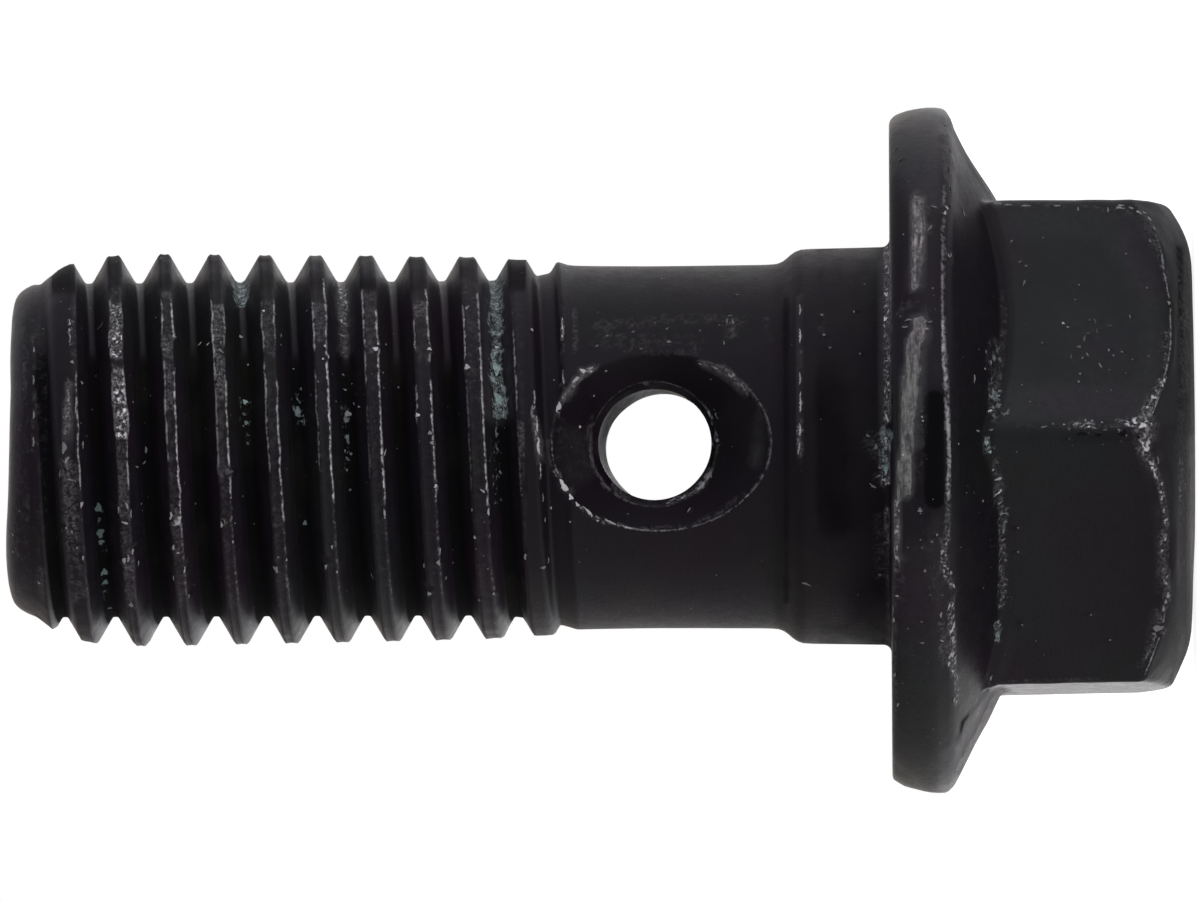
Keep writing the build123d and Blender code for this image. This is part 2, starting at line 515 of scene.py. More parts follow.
gone = np.zeros(len(tri), bool)
for poly in hole_poly:
    gone |= inside(cen, poly)
for t in tri[~gone]:
    F.append(tuple(glob[i] for i in t))

# ------------------------------------------------------------------ walls of the cross hole, and the axial bore around them
bore_loops = []
for (side, centre, rho_e, rings), loop in zip(sides, hole_ids):
    top = [glob[i] for i in loop]
    v_now = np.concatenate(V)
    y_top = np.abs(v_now[top][:, 1])
    prev = top
    # short steep stage, then the drilled wall
    last_y = y_top
    for w, rr_ in ((0.02, STAGE_R - 0.035), (0.10, STAGE_R - 0.07), (0.26, PORT_R + 0.025), (0.31, PORT_R), (0.36, PORT_R)):
        y = y_top - w
        cx, cz = port_centre(side * y)
        p = np.stack([cx + rr_ * np.sin(theta), side * y, cz + rr_ * np.cos(theta)], 1)
        cur = list(add(p, 5, abs(w - 0.02)))
        for i in range(NT):
            k = (i + 1) % NT
            F.append((prev[i], prev[k], cur[k], cur[i]))
        prev, last_y = cur, y
    y_b = np.full(NT, 1.9)
    for _ in range(6):
        cx, cz = port_centre(side * y_b)
        x = cx + PORT_R * np.sin(theta)
        y_b = np.sqrt(np.maximum(BORE_R ** 2 - x ** 2, 0.01))
    for w in (0.3, 0.6, 0.85, 0.96, 1.0):
        y = last_y + (y_b - last_y) * w
        cx, cz = port_centre(side * y)
        p = np.stack([cx + PORT_R * np.sin(theta), side * y, cz + PORT_R * np.cos(theta)], 1)
        cur = list(add(p, 5, 0.02 if w == 1.0 else 0.3))
        for i in range(NT):
            k = (i + 1) % NT
            F.append((prev[i], prev[k], cur[k], cur[i]))
        prev = cur
    bore_loops.append(prev)

bz = [20.6, 19.2, 17.8, 16.4, 15.0, 13.6, 12.2, 10.8, 9.6, 8.6, 7.9]
for z in bz:
    cur = ring(BORE_R, z, bcols, 3)
    quads(cur, b_prev)
    b_prev = cur
z_lo = 3.78
P2, P3, E2 = [], [], []
bcols2 = np.append(bcols, 2 * pi)
hi_row, lo_row, sl, sr = [], [], [], []
for phi in bcols2:
    P2.append((phi * BORE_R, 7.9)); P3.append(None); hi_row.append(len(P2) - 1)
for phi in bcols2:
    P2.append((phi * BORE_R, z_lo)); P3.append(None); lo_row.append(len(P2) - 1)
sl.append(lo_row[0]); sr.append(lo_row[-1])
v_now = np.concatenate(V)
loops2 = []
for loop, (side, centre, rho_e, rings) in zip(bore_loops, sides):
    q = v_now[loop]
    first = len(P2)
    for p in q:
        P2.append((float(to_phi(p[0], p[1])) * BORE_R, float(p[2]))); P3.append("loop")
    loops2.append(list(range(first, first + NT)))
    c2 = np.array([P2[i] for i in loops2[-1]]).mean(0)
    for grow in (1.03, 1.10, 1.22):
        f2 = len(P2)
        for i in loops2[-1]:
            u = c2[0] + (P2[i][0] - c2[0]) * grow
            w = c2[1] + (P2[i][1] - c2[1]) * grow
            P2.append((u, w)); P3.append("new")
        E2 += [(f2 + i, f2 + (i + 1) % NT) for i in range(NT)]
    E2 += [(first + i, first + (i + 1) % NT) for i in range(NT)]
for z in (7.65, 7.35, 4.1, 4.4, 7.05, 4.7, 6.7, 5.0, 6.3, 5.4, 5.8):
    for j, phi in enumerate(bcols2):
        u = phi * BORE_R
        ok = True
        for lp in loops2:
            c2 = np.array([P2[i] for i in lp]).mean(0)
            if math.hypot(u - c2[0], z - c2[1]) < 1.95:
                ok = False
        if ok:
            P2.append((u, z)); P3.append("new")
            if j == 0:
                sl.append(len(P2) - 1)
            if j == NB:
                sr.append(len(P2) - 1)
sl.append(hi_row[0]); sr.append(hi_row[-1])
sl.sort(key=lambda i: P2[i][1]); sr.sort(key=lambda i: P2[i][1])
for c in (hi_row, lo_row, sl, sr):
    E2 += list(zip(c[:-1], c[1:]))
cv, _, cf, vo, _, _ = delaunay_2d_cdt([Vector(p) for p in P2], E2, [], 0, 1e-7, True)
glob2 = {}
for j in range(NB + 1):
    glob2[hi_row[j]] = int(b_prev[j % NB])
ring_lo = ring(BORE_R, z_lo, bcols, 3)
for j in range(NB + 1):
    glob2[lo_row[j]] = int(ring_lo[j % NB])
for lp, loop in zip(loops2, bore_loops):
    for i, g in zip(lp, loop):
        glob2[i] = int(g)
seam2 = dict(zip(sr, sl))
rest = [i for i in range(len(P2)) if i not in glob2 and i not in seam2]
q = np.array([P2[i] for i in rest])
ids = add(np.stack([BORE_R * np.cos(q[:, 0] / BORE_R), BORE_R * np.sin(q[:, 0] / BORE_R), q[:, 1]], 1), 3)
for i, g in zip(rest, ids):
    glob2[i] = int(g)
for r_, l_ in seam2.items():
    if r_ not in glob2:
        glob2[r_] = glob2[l_]
tri = np.array([[vo[i][0] for i in f] for f in cf if len(f) == 3])
cen = np.array(P2)[tri].mean(1)
gone = np.zeros(len(tri), bool)
for lp in loops2:
    gone |= inside(cen, [P2[i] for i in lp])
for t in tri[~gone]:
    F.append(tuple(glob2[i] for i in t))
b_prev = ring_lo
for z, r in ((3.70, 2.25), (3.685, 2.235), (3.4, 1.76), (3.0, 1.09), (2.6, 0.42), (2.45, 0.17)):
    cur = ring(r, z, bcols, 3)
    quads(cur, b_prev)
    b_prev = cur
c_id = int(add([(0, 0, 2.35)], 3)[0])
for i in range(NB):
    F.append((b_prev[i], b_prev[(i + 1) % NB], c_id))

# ------------------------------------------------------------------ collar, flange, cone, hex, head top
prev = ring_c
for z, r in ((1.75, 4.902), (1.45, 4.907), (1.15, 4.912), (0.85, 4.918), (0.55, 4.925), (0.34, 4.930)):
    cur = ring(r, z, cols, 6, 9.0)
    quads(prev, cur)
    prev = cur
f_arc = arc((4.932, 2), (4.932, 0), (8, 0), 0.20, 6)
for k, o in enumerate(f_arc):
    cur = ring(4.932 + o[0], o[1], cols, 6, 0.1)
    quads(prev, cur)
    prev = cur
for r in (5.6, 6.4, 7.2, 7.85):
    cur = ring(r, 0.0, cols, 7, 8.2 - r)
    quads(prev, cur)
    prev = cur
for r, z, e in ((8.08, -0.004, .3), (8.20, -0.03, .2), (8.30, -0.09, .1), (8.375, -0.18, 0.02), (8.42, -0.30, .1), (8.455, -0.45, .2),
                (8.482, -0.62, .3), (8.50, -0.80, .3), (8.505, -0.95, .25), (8.497, -1.08, .18), (8.485, -1.15, .1), (8.466, -1.22, .05),
                (8.44, -1.285, .0), (8.405, -1.345, .0), (8.36, -1.40, .0), (8.30, -1.45, .0), (8.235, -1.495, .05), (8.165, -1.54, .1), (8.09, -1.583, .1), (8.02, -1.622, .2)):
    cur = ring(r, z, cols, 8, e)
    quads(prev, cur)
    prev = cur
HR = hex_r(cols)
z_cone = lambda r: -1.622 - (8.02 - r) * math.tan(CONE)
z_j = z_cone(HR)
cone_dir = np.array([math.cos(CONE), math.sin(CONE)])
fil = arc(tuple(cone_dir * 2), (0, 0), (0, -2), 0.30, 6)
start = HR + fil[0][0]
for w in (0.14, 0.28, 0.42, 0.56, 0.70, 0.82, 0.92):
    r = 8.02 + (start - 8.02) * w
    cur = ring(r, z_cone(r), cols, 9, 0.6)
    quads(prev, cur)
    prev = cur
for o in fil:
    cur = ring(HR + o[0], z_j + o[1], cols, 9, 0.5)
    quads(prev, cur)
    prev = cur
CH = rad(35)
cz = lambda r: HEAD_Z + (r - TOP_R) * math.tan(CH)
z_t = cz(HR)
top_arc = arc((0, 3), (0, 0), (-math.cos(CH), -math.sin(CH)), 0.34, 7)
z_s, z_e = z_j + fil[-1][1], z_t + top_arc[0][1]
ce = hex_corner_mm(cols)
for w in (0.05, 0.12, 0.20, 0.29, 0.38, 0.47, 0.56, 0.65, 0.74, 0.83, 0.92):
    z = z_s + (z_e - z_s) * w
    cur = ring(HR, z, cols, 10, ce)
    quads(prev, cur)
    prev = cur
round_head = np.stack([6.5 * np.cos(cols), 6.5 * np.sin(cols), np.zeros(N)], 1)
rag = 0.040 * noise(round_head, 1.1, 61) + 0.020 * noise(round_head, 3.6, 67)
for at_deg, wide_deg, shift in ((-27.5, 5.0, 0.24), (-68, 8, -0.07), (-122, 18, 0.07)):
    rag += shift * np.exp(-(((np.degrees(cols) - at_deg + 180) % 360 - 180) / wide_deg) ** 2)
for k, o in enumerate(top_arc):
    cur = ring(HR + o[0], z_t + o[1] + rag, cols, 10, (0.163, 0.109, 0.054, 0.0, 0.054, 0.109, 0.163)[k])
    quads(prev, cur)
    prev = cur
t_arc = arc((TOP_R + 3 * math.cos(CH), HEAD_Z + 3 * math.sin(CH)), (TOP_R, HEAD_Z), (0, HEAD_Z), 2.1, 9)
r_s, z_s2 = HR + top_arc[-1][0], z_t + top_arc[-1][1]
r_e, z_e2 = TOP_R + t_arc[0][0], HEAD_Z + t_arc[0][1]
for w in (0.33, 0.66):
    cur = ring(r_s + (r_e - r_s) * w, z_s2 + (z_e2 - z_s2) * w, cols, 10, 0.5)
    quads(prev, cur)
    prev = cur
for o in t_arc:
    cur = ring(TOP_R + o[0], HEAD_Z + o[1], cols, 11, 0.3)
    quads(prev, cur)
    prev = cur
for r in (4.2, 3.4, 2.5, 1.6, 0.8, 0.3):
    cur = ring(r, HEAD_Z, cols, 11, 9.0)
    quads(prev, cur)
    prev = cur
c_id = int(add([(0, 0, HEAD_Z)], 11)[0])
for i in range(N):
    F.append((prev[i], c_id, prev[(i + 1) % N]))

verts = np.concatenate(V)
zone = np.concatenate(ZONE)
edge = np.concatenate(EDGE)

# forged flange and head sit a little off the turned shank's axis
rv = np.hypot(verts[:, 0], verts[:, 1])
on_head = (zone >= 7)
w_fl = np.where(on_head, np.where(verts[:, 2] > -0.02, step01(rv, 5.2, 7.6), 1.0), 0.0)
w_hx = np.where(on_head, 1 - step01(verts[:, 2], -2.9, -1.7), 0.0)

# uneven forging of the flange's rim and of the hex, an end face cut a little askew, a head top that is barely domed
cosv = np.cos(np.arctan2(verts[:, 1], verts[:, 0]))
RIM_UP = np.array([(-2.70, 0), (-2.50, -.02), (-2.33, -.05), (-2.13, -.10), (-1.93, -.13), (-1.83, -.12), (-1.73, -.10), (-1.64, -.10), (-1.56, .02),
                   (-1.45, .05), (-1.32, .03), (-1.2, 0), (-1.05, -.02), (-.75, -.035), (-.45, -.045), (-.30, -.06), (-.14, -.08), (-.05, -.05), (0, 0)])
RIM_DN = np.array([(-2.70, .10), (-2.3, .09), (-2.03, .09), (-1.83, .13), (-1.73, .14), (-1.64, .16), (-1.53, .155), (-1.44, .11), (-1.34, .07), (-1.24, .04),
                   (-1.14, .02), (-1.05, 0), (-.85, -.025), (-.75, -.045), (-.55, -.07), (-.35, -.087), (-.24, -.095), (-.14, -.12), (-.05, -.06), (0, 0)])
rim_on = (zone >= 8) & (zone < 10)
zc_ = np.clip(verts[:, 2], -2.7, 0)
d_rim = np.interp(zc_, RIM_UP[:, 0], RIM_UP[:, 1]) * np.clip(cosv, 0, 1) ** 0.8 + np.interp(zc_, RIM_DN[:, 0], RIM_DN[:, 1]) * np.clip(-cosv, 0, 1) ** 0.8
d_rim = np.where(rim_on, d_rim, 0)
d_rim = np.where((zone == 9) & (rv < 6.75), d_rim * step01(rv, 6.1, 6.75), d_rim)
phv = np.arctan2(verts[:, 1], verts[:, 0])
low_side = 1 - step01(np.abs((np.degrees(phv) - 182.5 + 180) % 360 - 180), 30, 46)
d_hex = np.where((zone >= 9) & (rv < 7.2) & (rv > 4.5), low_side * np.interp(verts[:, 2], [-7.0, -6.0, -2.9], [0.03, 0.045, 0.10]), 0)
d_hex = np.where(zone == 9, d_hex * (1 - step01(rv, 6.3, 7.1)), d_hex)
k_r = 1 + (d_rim + d_hex) / np.maximum(rv, 1)
verts[:, 0] *= k_r
verts[:, 1] *= k_r
# the forged hex is a little out of true at two of its lower corners
deg_v = np.degrees(phv) % 360
hex_w = np.where((zone >= 9) & (rv < 7.2) & (rv > 3.0), np.where(zone == 9, 1 - step01(rv, 6.3, 7.1), 1.0) * step01(rv, 4.0, 5.6), 0)
verts[:, 0] += hex_w * (0.070 * np.clip(1 - np.abs(deg_v - 212.5) / 59, 0, 1) + 0.025 * np.clip(1 - np.abs(deg_v - 152.5) / 59, 0, 1))
verts[:, 0] += w_fl * (ECC_FLANGE * (1 - w_hx) + ECC_HEX * w_hx)
TIP_DX = np.array([(-4.2, .10), (-3.5, .05), (-2.6, .037), (-2.0, 0), (-1.5, -.045), (-1, -.08), (0, -.115), (1, -.135), (1.5, -.145), (2.3, -.11), (3.0, -.095),
                   (3.5, -.06), (3.9, 0), (4.1, .03)])
tip_w = np.where((zone >= 1) & (zone <= 3), step01(verts[:, 2], 21.28, 21.72), 0)
verts[:, 2] += tip_w * np.interp(verts[:, 0], TIP_DX[:, 0], TIP_DX[:, 1])
DOME = np.array([(-6.0, .097), (-5.5, .097), (-4, .085), (-3, .160), (-2.2, .150), (-1.4, .110), (0, .072), (2, .055), (5.5, .035)])
dome_w = np.where((zone >= 10), step01(rv, 2.5, 4.9) * (1 - step01(verts[:, 2], -7.35, -6.9)), 0)
verts[:, 2] += dome_w * np.interp(verts[:, 0], DOME[:, 0], DOME[:, 1])
# ------------------------------------------------------------------ small damage in the form itself
phi_v = np.arctan2(verts[:, 1], verts[:, 0]) % (2 * pi)
thread_d = crest_offset(phi_v, verts[:, 2])
thread_k = 1 - np.round((verts[:, 2] - Z_CREST - P * phi_v / (2 * pi)) / P).astype(int)
thread_hc = half_crest(verts[:, 2])
on_thread = (zone == 1)
near_crest = np.where(on_thread, 1 - step01(np.abs(thread_d) - thread_hc, 0.03, 0.16), 0)
rub = 0.35 + 0.65 * np.clip(0.5 + 1.6 * fractal(np.stack([(thread_k + phi_v / (2 * pi)) * 9.0, np.zeros(len(verts)), np.zeros(len(verts))], 1), 0.5, 2, 71), 0, 1)
sink = near_crest * rub * (0.016 * np.clip(noise(verts, 2.2, 73), -0.3, 1) + 0.008 * noise(verts, 4.2, 79))
verts[:, 0] -= sink * np.cos(phi_v)
verts[:, 1] -= sink * np.sin(phi_v)
verts[:, 2] += near_crest * rub * (0.016 * noise(verts, 1.9, 83) + 0.010 * noise(verts, 4.0, 89))
px0 = pixels(verts)
is_front = np.sin(phi_v) < -0.1
# crest, edge, middle and half length in the picture's height, how far the lip leans out
for number, side_, y_, half_, lean in ((2, 1, 342, 14, .075), (2, -1, 420, 20, .085), (2, 1, 395, 14, .035), (3, 1, 345, 12, .05), (3, -1, 336, 8, .03), (4, 1, 330, 16, .03), (4, -1, 325, 12, .03),
                                       (5, 1, 320, 14, .03), (6, -1, 310, 12, .03), (7, -1, 347, 7, .05), (8, 1, 420, 8, .03), (8, -1, 352, 7, .04), (9, 1, 368, 9, .05), (10, -1, 440, 22, .05),
                                       (2, -1, 560, 14, .03), (3, 1, 520, 12, .03), (4, 1, 472, 8, .04), (5, -1, 470, 10, -.03), (6, 1, 430, 10, -.03)):
    sel = on_thread & is_front & (thread_k == number) & (np.abs(thread_d - side_ * thread_hc) < 0.05)
    verts[sel, 2] += side_ * lean * np.exp(-((px0[sel, 1] - y_) / half_) ** 2)
edge_band = np.where(zone == 8, np.exp(-((verts[:, 2] + 1.36) / 0.14) ** 2) + np.exp(-((verts[:, 2] + 0.16) / 0.12) ** 2), 0)
chip = edge_band * (0.014 * noise(verts, 1.6, 97) + 0.011 * noise(verts, 3.8, 101)) + np.where(zone == 8, 0.010 * noise(verts, 0.9, 103), 0)
chip -= np.where(zone == 10, 0.020 * np.clip(noise(verts, 1.8, 107), -0.2, 1) * (1 - step01(hex_corner_mm(phi_v), 0.05, 0.30)), 0)
chip += np.where((zone == 9) | (zone == 11), 0.006 * noise(verts, 0.8, 109), 0)
verts[:, 0] += chip * np.cos(phi_v)
verts[:, 1] += chip * np.sin(phi_v)

# ------------------------------------------------------------------ wear, dirt, tone, painted light and painted shade, on the vertices
from mathutils.bvhtree import BVHTree

tree = BVHTree.FromPolygons(verts.tolist(), [tuple(int(i) for i in f) for f in F], all_triangles=False)
px = pixels(verts)
back = step01(np.sin(phi_v), -0.22, 0.10)          # 1 on the side away from the camera
seen = np.zeros(len(verts), bool)
C_vec = Vector([float(c) for c in C_np])
for i in np.nonzero(np.sin(phi_v) < 0.12)[0]:
    v = Vector(verts[i])
    ray = v - C_vec
    hit, _, _, dist = tree.ray_cast(C_vec, ray.normalized())
    seen[i] = hit is not None and (hit - v).length < 0.05
names = ("zone", "edge", "line", "patch", "teal", "film_and_painted_light", "tone_and_shade", "hue", "spot", "kind", "dust", "pale")
A = {n: np.zeros(len(verts)) for n in names}
A["zone"], A["edge"] = zone.copy(), edge.copy()
A["edge"][on_thread] = (np.abs(thread_d) - thread_hc)[on_thread]
PARTS = {"L": on_thread & (np.abs(thread_d - thread_hc) < 0.042), "R": on_thread & (np.abs(thread_d + thread_hc) < 0.042),
         "F": on_thread & (np.abs(thread_d) < thread_hc - 0.008)}


def band(y, y0, y1, s=5.0):
    return np.clip((y - y0) / s + 0.5, 0, 1) * np.clip((y1 - y) / s + 0.5, 0, 1)


def raise_to(name, sel, value):
    A[name][sel] = np.maximum(A[name][sel], value)


def far_from(points, pts):
    """Distance of each point (n, 2) from a polyline."""
    best = np.full(len(points), 1e9)
    pts = [np.asarray(p, float) for p in pts]
    if len(pts) == 1:
        return np.hypot(*(points - pts[0]).T)
    for a_, b_ in zip(pts[:-1], pts[1:]):
        ab = b_ - a_
        t = np.clip(((points - a_) @ ab) / max(ab @ ab, 1e-9), 0, 1)
        best = np.minimum(best, np.hypot(*(points - a_ - t[:, None] * ab).T))
    return best


def stroke(name, level, width, *pts, zones=None, soft=3.0, mode="max"):
    """Paint along a polyline of picture places on whatever surface is seen there."""
    xs, ys = [p[0] for p in pts], [p[1] for p in pts]
    m = width + soft + 2
    sel = seen & (px[:, 0] > min(xs) - m) & (px[:, 0] < max(xs) + m) & (px[:, 1] > min(ys) - m) & (px[:, 1] < max(ys) + m)
    if zones is not None:
        sel &= np.isin(zone, zones)
    sel = np.nonzero(sel)[0]
    if not len(sel):
        return
    w = 1 - step01(far_from(px[sel], pts), width / 2 - soft / 2, width / 2 + soft / 2)
    if mode == "max":
        A[name][sel] = np.maximum(A[name][sel], level * w)
    elif mode == "add":
        A[name][sel] += level * w
    else:
        A[name][sel] = A[name][sel] * (1 - w) + level * w


# worn crests: crest number: (part, from, to, strength); L and R are the two edges of a crest's flat, F the flat itself
CRESTS = {
    1: (("R", 372, 490, .8), ("F", 455, 600, .40), ("R", 300, 360, .25), ("R", 495, 600, .22), ("F", 470, 500, .42), ("F", 556, 575, .4)),
    2: (("F", 285, 300, .42), ("F", 303, 360, .92), ("L", 300, 362, .8), ("R", 303, 330, .6), ("F", 367, 440, 1.0), ("L", 367, 436, .7), ("R", 367, 440, .95), ("R", 440, 487, .8),
        ("F", 440, 500, .52), ("F", 500, 610, .46), ("L", 500, 600, .25), ("F", 500, 526, .6), ("F", 548, 575, .6)),
    3: (("F", 290, 300, .6), ("L", 300, 335, .9), ("R", 300, 340, .9), ("F", 300, 335, .3), ("F", 335, 358, .66), ("L", 360, 460, .82), ("R", 370, 530, .95), ("F", 360, 412, .60),
        ("F", 412, 530, .28), ("F", 530, 610, .32), ("R", 530, 600, .4), ("F", 505, 530, .6), ("F", 542, 556, .5)),
    4: (("L", 300, 375, .95), ("R", 305, 345, .65), ("F", 303, 400, .66), ("L", 375, 470, .66), ("R", 380, 500, .9), ("F", 400, 500, .34), ("F", 500, 610, .26), ("F", 466, 480, .6),
        ("R", 500, 600, .3)),
    5: (("L", 300, 350, .74), ("R", 300, 345, .74), ("F", 345, 360, .45), ("L", 363, 470, .8), ("R", 380, 523, .8), ("F", 300, 345, .45), ("F", 370, 470, .26), ("F", 470, 610, .22),
        ("R", 523, 600, .35), ("F", 505, 530, .35)),
    6: (("L", 300, 350, .85), ("R", 280, 360, .76), ("F", 300, 345, .52), ("L", 370, 470, .6), ("R", 360, 500, 1.1), ("F", 360, 470, .13), ("F", 470, 600, .12), ("R", 500, 600, .3)),
    7: (("L", 290, 345, .85), ("R", 310, 348, .85), ("F", 290, 345, .42), ("L", 350, 385, .66), ("R", 350, 500, 1.0), ("F", 345, 354, .7), ("F", 360, 600, .20), ("L", 400, 480, .4),
        ("R", 500, 600, .25)),
    8: (("L", 320, 350, .76), ("F", 300, 320, .6), ("R", 290, 365, .76), ("L", 385, 424, .78), ("R", 380, 500, 1.0), ("F", 320, 365, .30), ("F", 365, 600, .15), ("R", 500, 600, .3)),
    9: (("L", 305, 360, .85), ("L", 380, 490, .42), ("R", 290, 345, .66), ("R", 345, 505, 1.0), ("F", 280, 400, .28), ("F", 400, 600, .16), ("R", 505, 600, .25)),
    10: (("L", 330, 410, .72), ("L", 430, 500, .4), ("R", 310, 342, .66), ("R", 358, 420, .74), ("R", 460, 513, .85), ("F", 290, 420, .16), ("F", 420, 460, .6), ("F", 460, 600, .24)),
}
front = seen & (back < 0.9)
for number, marks in CRESTS.items():
    for part, y0, y1, level in marks:
        sel = PARTS[part] & front & (thread_k == number)
        raise_to("patch" if part == "F" else "line", sel, level * band(px[sel, 1], y0, y1))

# unseen sides of the thread: the same kind of wear, by seeded noise along the helix
along = np.stack([(thread_k + phi_v / (2 * pi)) * 9.0, phi_v * 0.0, np.zeros(len(verts))], 1)
n_line = fractal(along, 0.9, 3, 5)
n_line2 = fractal(along, 0.9, 3, 11)
n_flat = fractal(along, 0.6, 3, 23)
for part, src, gain_ in (("L", n_line, 1.5), ("R", n_line2, 1.7), ("F", n_flat, 1.3)):
    sel = PARTS[part]
    raise_to("patch" if part == "F" else "line", sel, np.clip(0.42 + gain_ * 0.6 * src[sel], 0.12, 1.0) * back[sel])

# soft streaks, bands and patches of worn coat: strength, width, places
for level, width, *pts in (
        (1.0, 8, (1139, 442), (1150, 458), (1161, 488)), (.85, 7, (1161, 488), (1166, 520), (1162, 552), (1166, 578), (1169, 594), (1163, 612)), (1.0, 9, (1140, 424), (1152, 404), (1162, 380)), (.6, 6, (1165, 370), (1167, 330)),
        (1.0, 3.5, (69, 308), (71, 358)), (.9, 8, (69, 383), (67, 410), (65, 455)), (.62, 14, (66, 462), (70, 545)), (.42, 12, (70, 545), (74, 600)), (.42, 5, (34, 320), (33, 450)),
        (.20, 12, (42, 330), (41, 600)), (.22, 10, (22, 300), (18, 560)), (.45, 5, (24, 330), (24, 400)), (.4, 8, (14, 520), (15, 560)), (.5, 6, (40, 570), (43, 592)),
        (.95, 6, (535, 418), (540, 460)), (1.0, 3, (562, 307), (562, 352)), (.8, 3, (563, 370), (563, 395)), (.5, 6, (575, 310), (575, 350)),
        (.85, 13, (343, 284), (343, 318)), (.62, 13, (344, 318), (344, 352)), (.45, 8, (345, 408), (345, 420)),
        # countersink
        (1.0, 5.5, (557, 413), (565, 396), (580, 378), (596, 367)), (1.0, 6, (557, 474), (570, 496)), (.9, 3.5, (585, 512), (600, 521), (625, 526)),
        (.72, 9, (700, 364), (725, 370), (748, 392)), (.35, 4, (640, 528), (690, 525), (720, 512)), (.35, 6, (556, 430), (549, 440)),
        (1.0, 6, (668, 502), (690, 494), (702, 484), (710, 470)), (.7, 3.5, (640, 502), (668, 503)), (.6, 4, (612, 483), (630, 498)), (.6, 4, (590, 420), (592, 462), (604, 486)),
        (.16, 26, (575, 440), (580, 470)),
        (.55, 3.5, (640, 529), (690, 526), (720, 513), (742, 498), (755, 486), (768, 466), (771, 440), (765, 411), (750, 394)),
        (.9, 3.5, (576, 504), (600, 522), (625, 526)), (.5, 4, (549, 440), (548, 455), (553, 470)), (.6, 5, (592, 412), (589, 440), (592, 465), (606, 488), (630, 499)),
        (.20, 20, (560, 425), (562, 455)),
        # waist: faint brushed rubs above the hole
        (.32, 12, (600, 325), (640, 322), (690, 318), (745, 322)), (.28, 22, (600, 340), (650, 345), (700, 345)), (.62, 12, (729, 318), (731, 334)), (.3, 10, (765, 318), (768, 340)),
        # shoulder, with a painted highlight along its edge, and collar
        (1.0, 3, (800, 298), (800, 352)), (.95, 3, (800, 367), (800, 425)), (1.05, 5.0, (799, 425), (799, 457)), (.45, 3, (800, 457), (800, 472)),
        (.95, 9, (887, 250), (887, 420)), (.95, 13, (884, 432), (884, 452)), (1.0, 13, (884, 458), (884, 482)), (.8, 6, (887, 508), (887, 542)),
        (.5, 4, (888, 545), (888, 620)), (.34, 12, (820, 318), (826, 342)), (.45, 22, (872, 440), (878, 455)), (.4, 12, (880, 520), (882, 575)),
        # rim
        (.62, 12, (919, 200), (919, 240), (916, 285)), (1.0, 3, (914, 225), (920, 245), (916, 262)), (.30, 13, (925, 315), (912, 352), (907, 400), (905, 445), (902, 492)), (.45, 4, (924, 207), (936, 206), (946, 214)), (.4, 3, (924, 216), (934, 212)),
        (.85, 3, (944, 190), (943, 240), (942, 320)), (.7, 3.0, (942, 336), (946, 380), (950, 460), (948, 500)), (.70, 7, (948, 503), (947, 545)),
        (.75, 9, (943, 545), (946, 575), (953, 588)), (.88, 8, (951, 600), (953, 640), (953, 672)), (.8, 6, (956, 672), (957, 705)), (.80, 7, (897, 500), (896, 572)),
        (.55, 10, (942, 625), (943, 660)), (.35, 8, (900, 560), (901, 600)),
        (.45, 5, (895, 572), (896, 720)), (.35, 5, (897, 130), (900, 190)), (.50, 6, (943, 125), (945, 180)), (.34, 18, (928, 118), (912, 112)),
        (.45, 10, (900, 312), (912, 300)), (.4, 8, (948, 252), (952, 262)), (.32, 16, (918, 410), (915, 480)), (.30, 18, (935, 770), (912, 776)), (.4, 6, (908, 488), (916, 500)),
        (.30, 14, (930, 530), (935, 600)),
        # cone and its junction with the hex
        (.36, 8, (1004, 290), (1004, 345)), (.48, 18, (995, 345), (996, 372)), (.58, 16, (995, 385), (996, 415)), (.6, 7, (986, 440), (986, 450)),
        (.55, 11, (998, 462), (998, 500)), (.60, 8, (1002, 508), (1002, 605)), (.75, 7, (998, 620), (998, 640)), (.7, 5, (990, 675), (989, 683)), (.3, 16, (968, 190), (984, 196)),
        # hex
        (.40, 4, (1000, 425), (1062, 427)), (.90, 9, (1068, 425), (1094, 424)), (.5, 5, (1094, 427), (1120, 426)), (1.0, 12, (1124, 421), (1150, 424)),
        (.95, 12, (1146, 410), (1146, 446)), (.55, 5, (1000, 205), (1062, 206)), (.55, 5, (1076, 206), (1116, 209)), (.45, 4, (1010, 681), (1100, 679)),
        (.85, 8, (1150, 628), (1163, 632)), (.6, 7, (1141, 665), (1152, 640)), (.16, 26, (1030, 215), (1100, 222)), (.10, 30, (1090, 340), (1100, 375)),
        (.55, 8, (1120, 207), (1142, 216), (1156, 240)), (.5, 8, (1156, 240), (1166, 280)), (.45, 9, (1158, 385), (1146, 412)), (.5, 8, (1140, 448), (1160, 480), (1166, 520)),
        (.5, 10, (1164, 540), (1166, 600)), (.6, 10, (1160, 612), (1150, 648))):
    stroke("patch", level, width, *pts, soft=3.0)
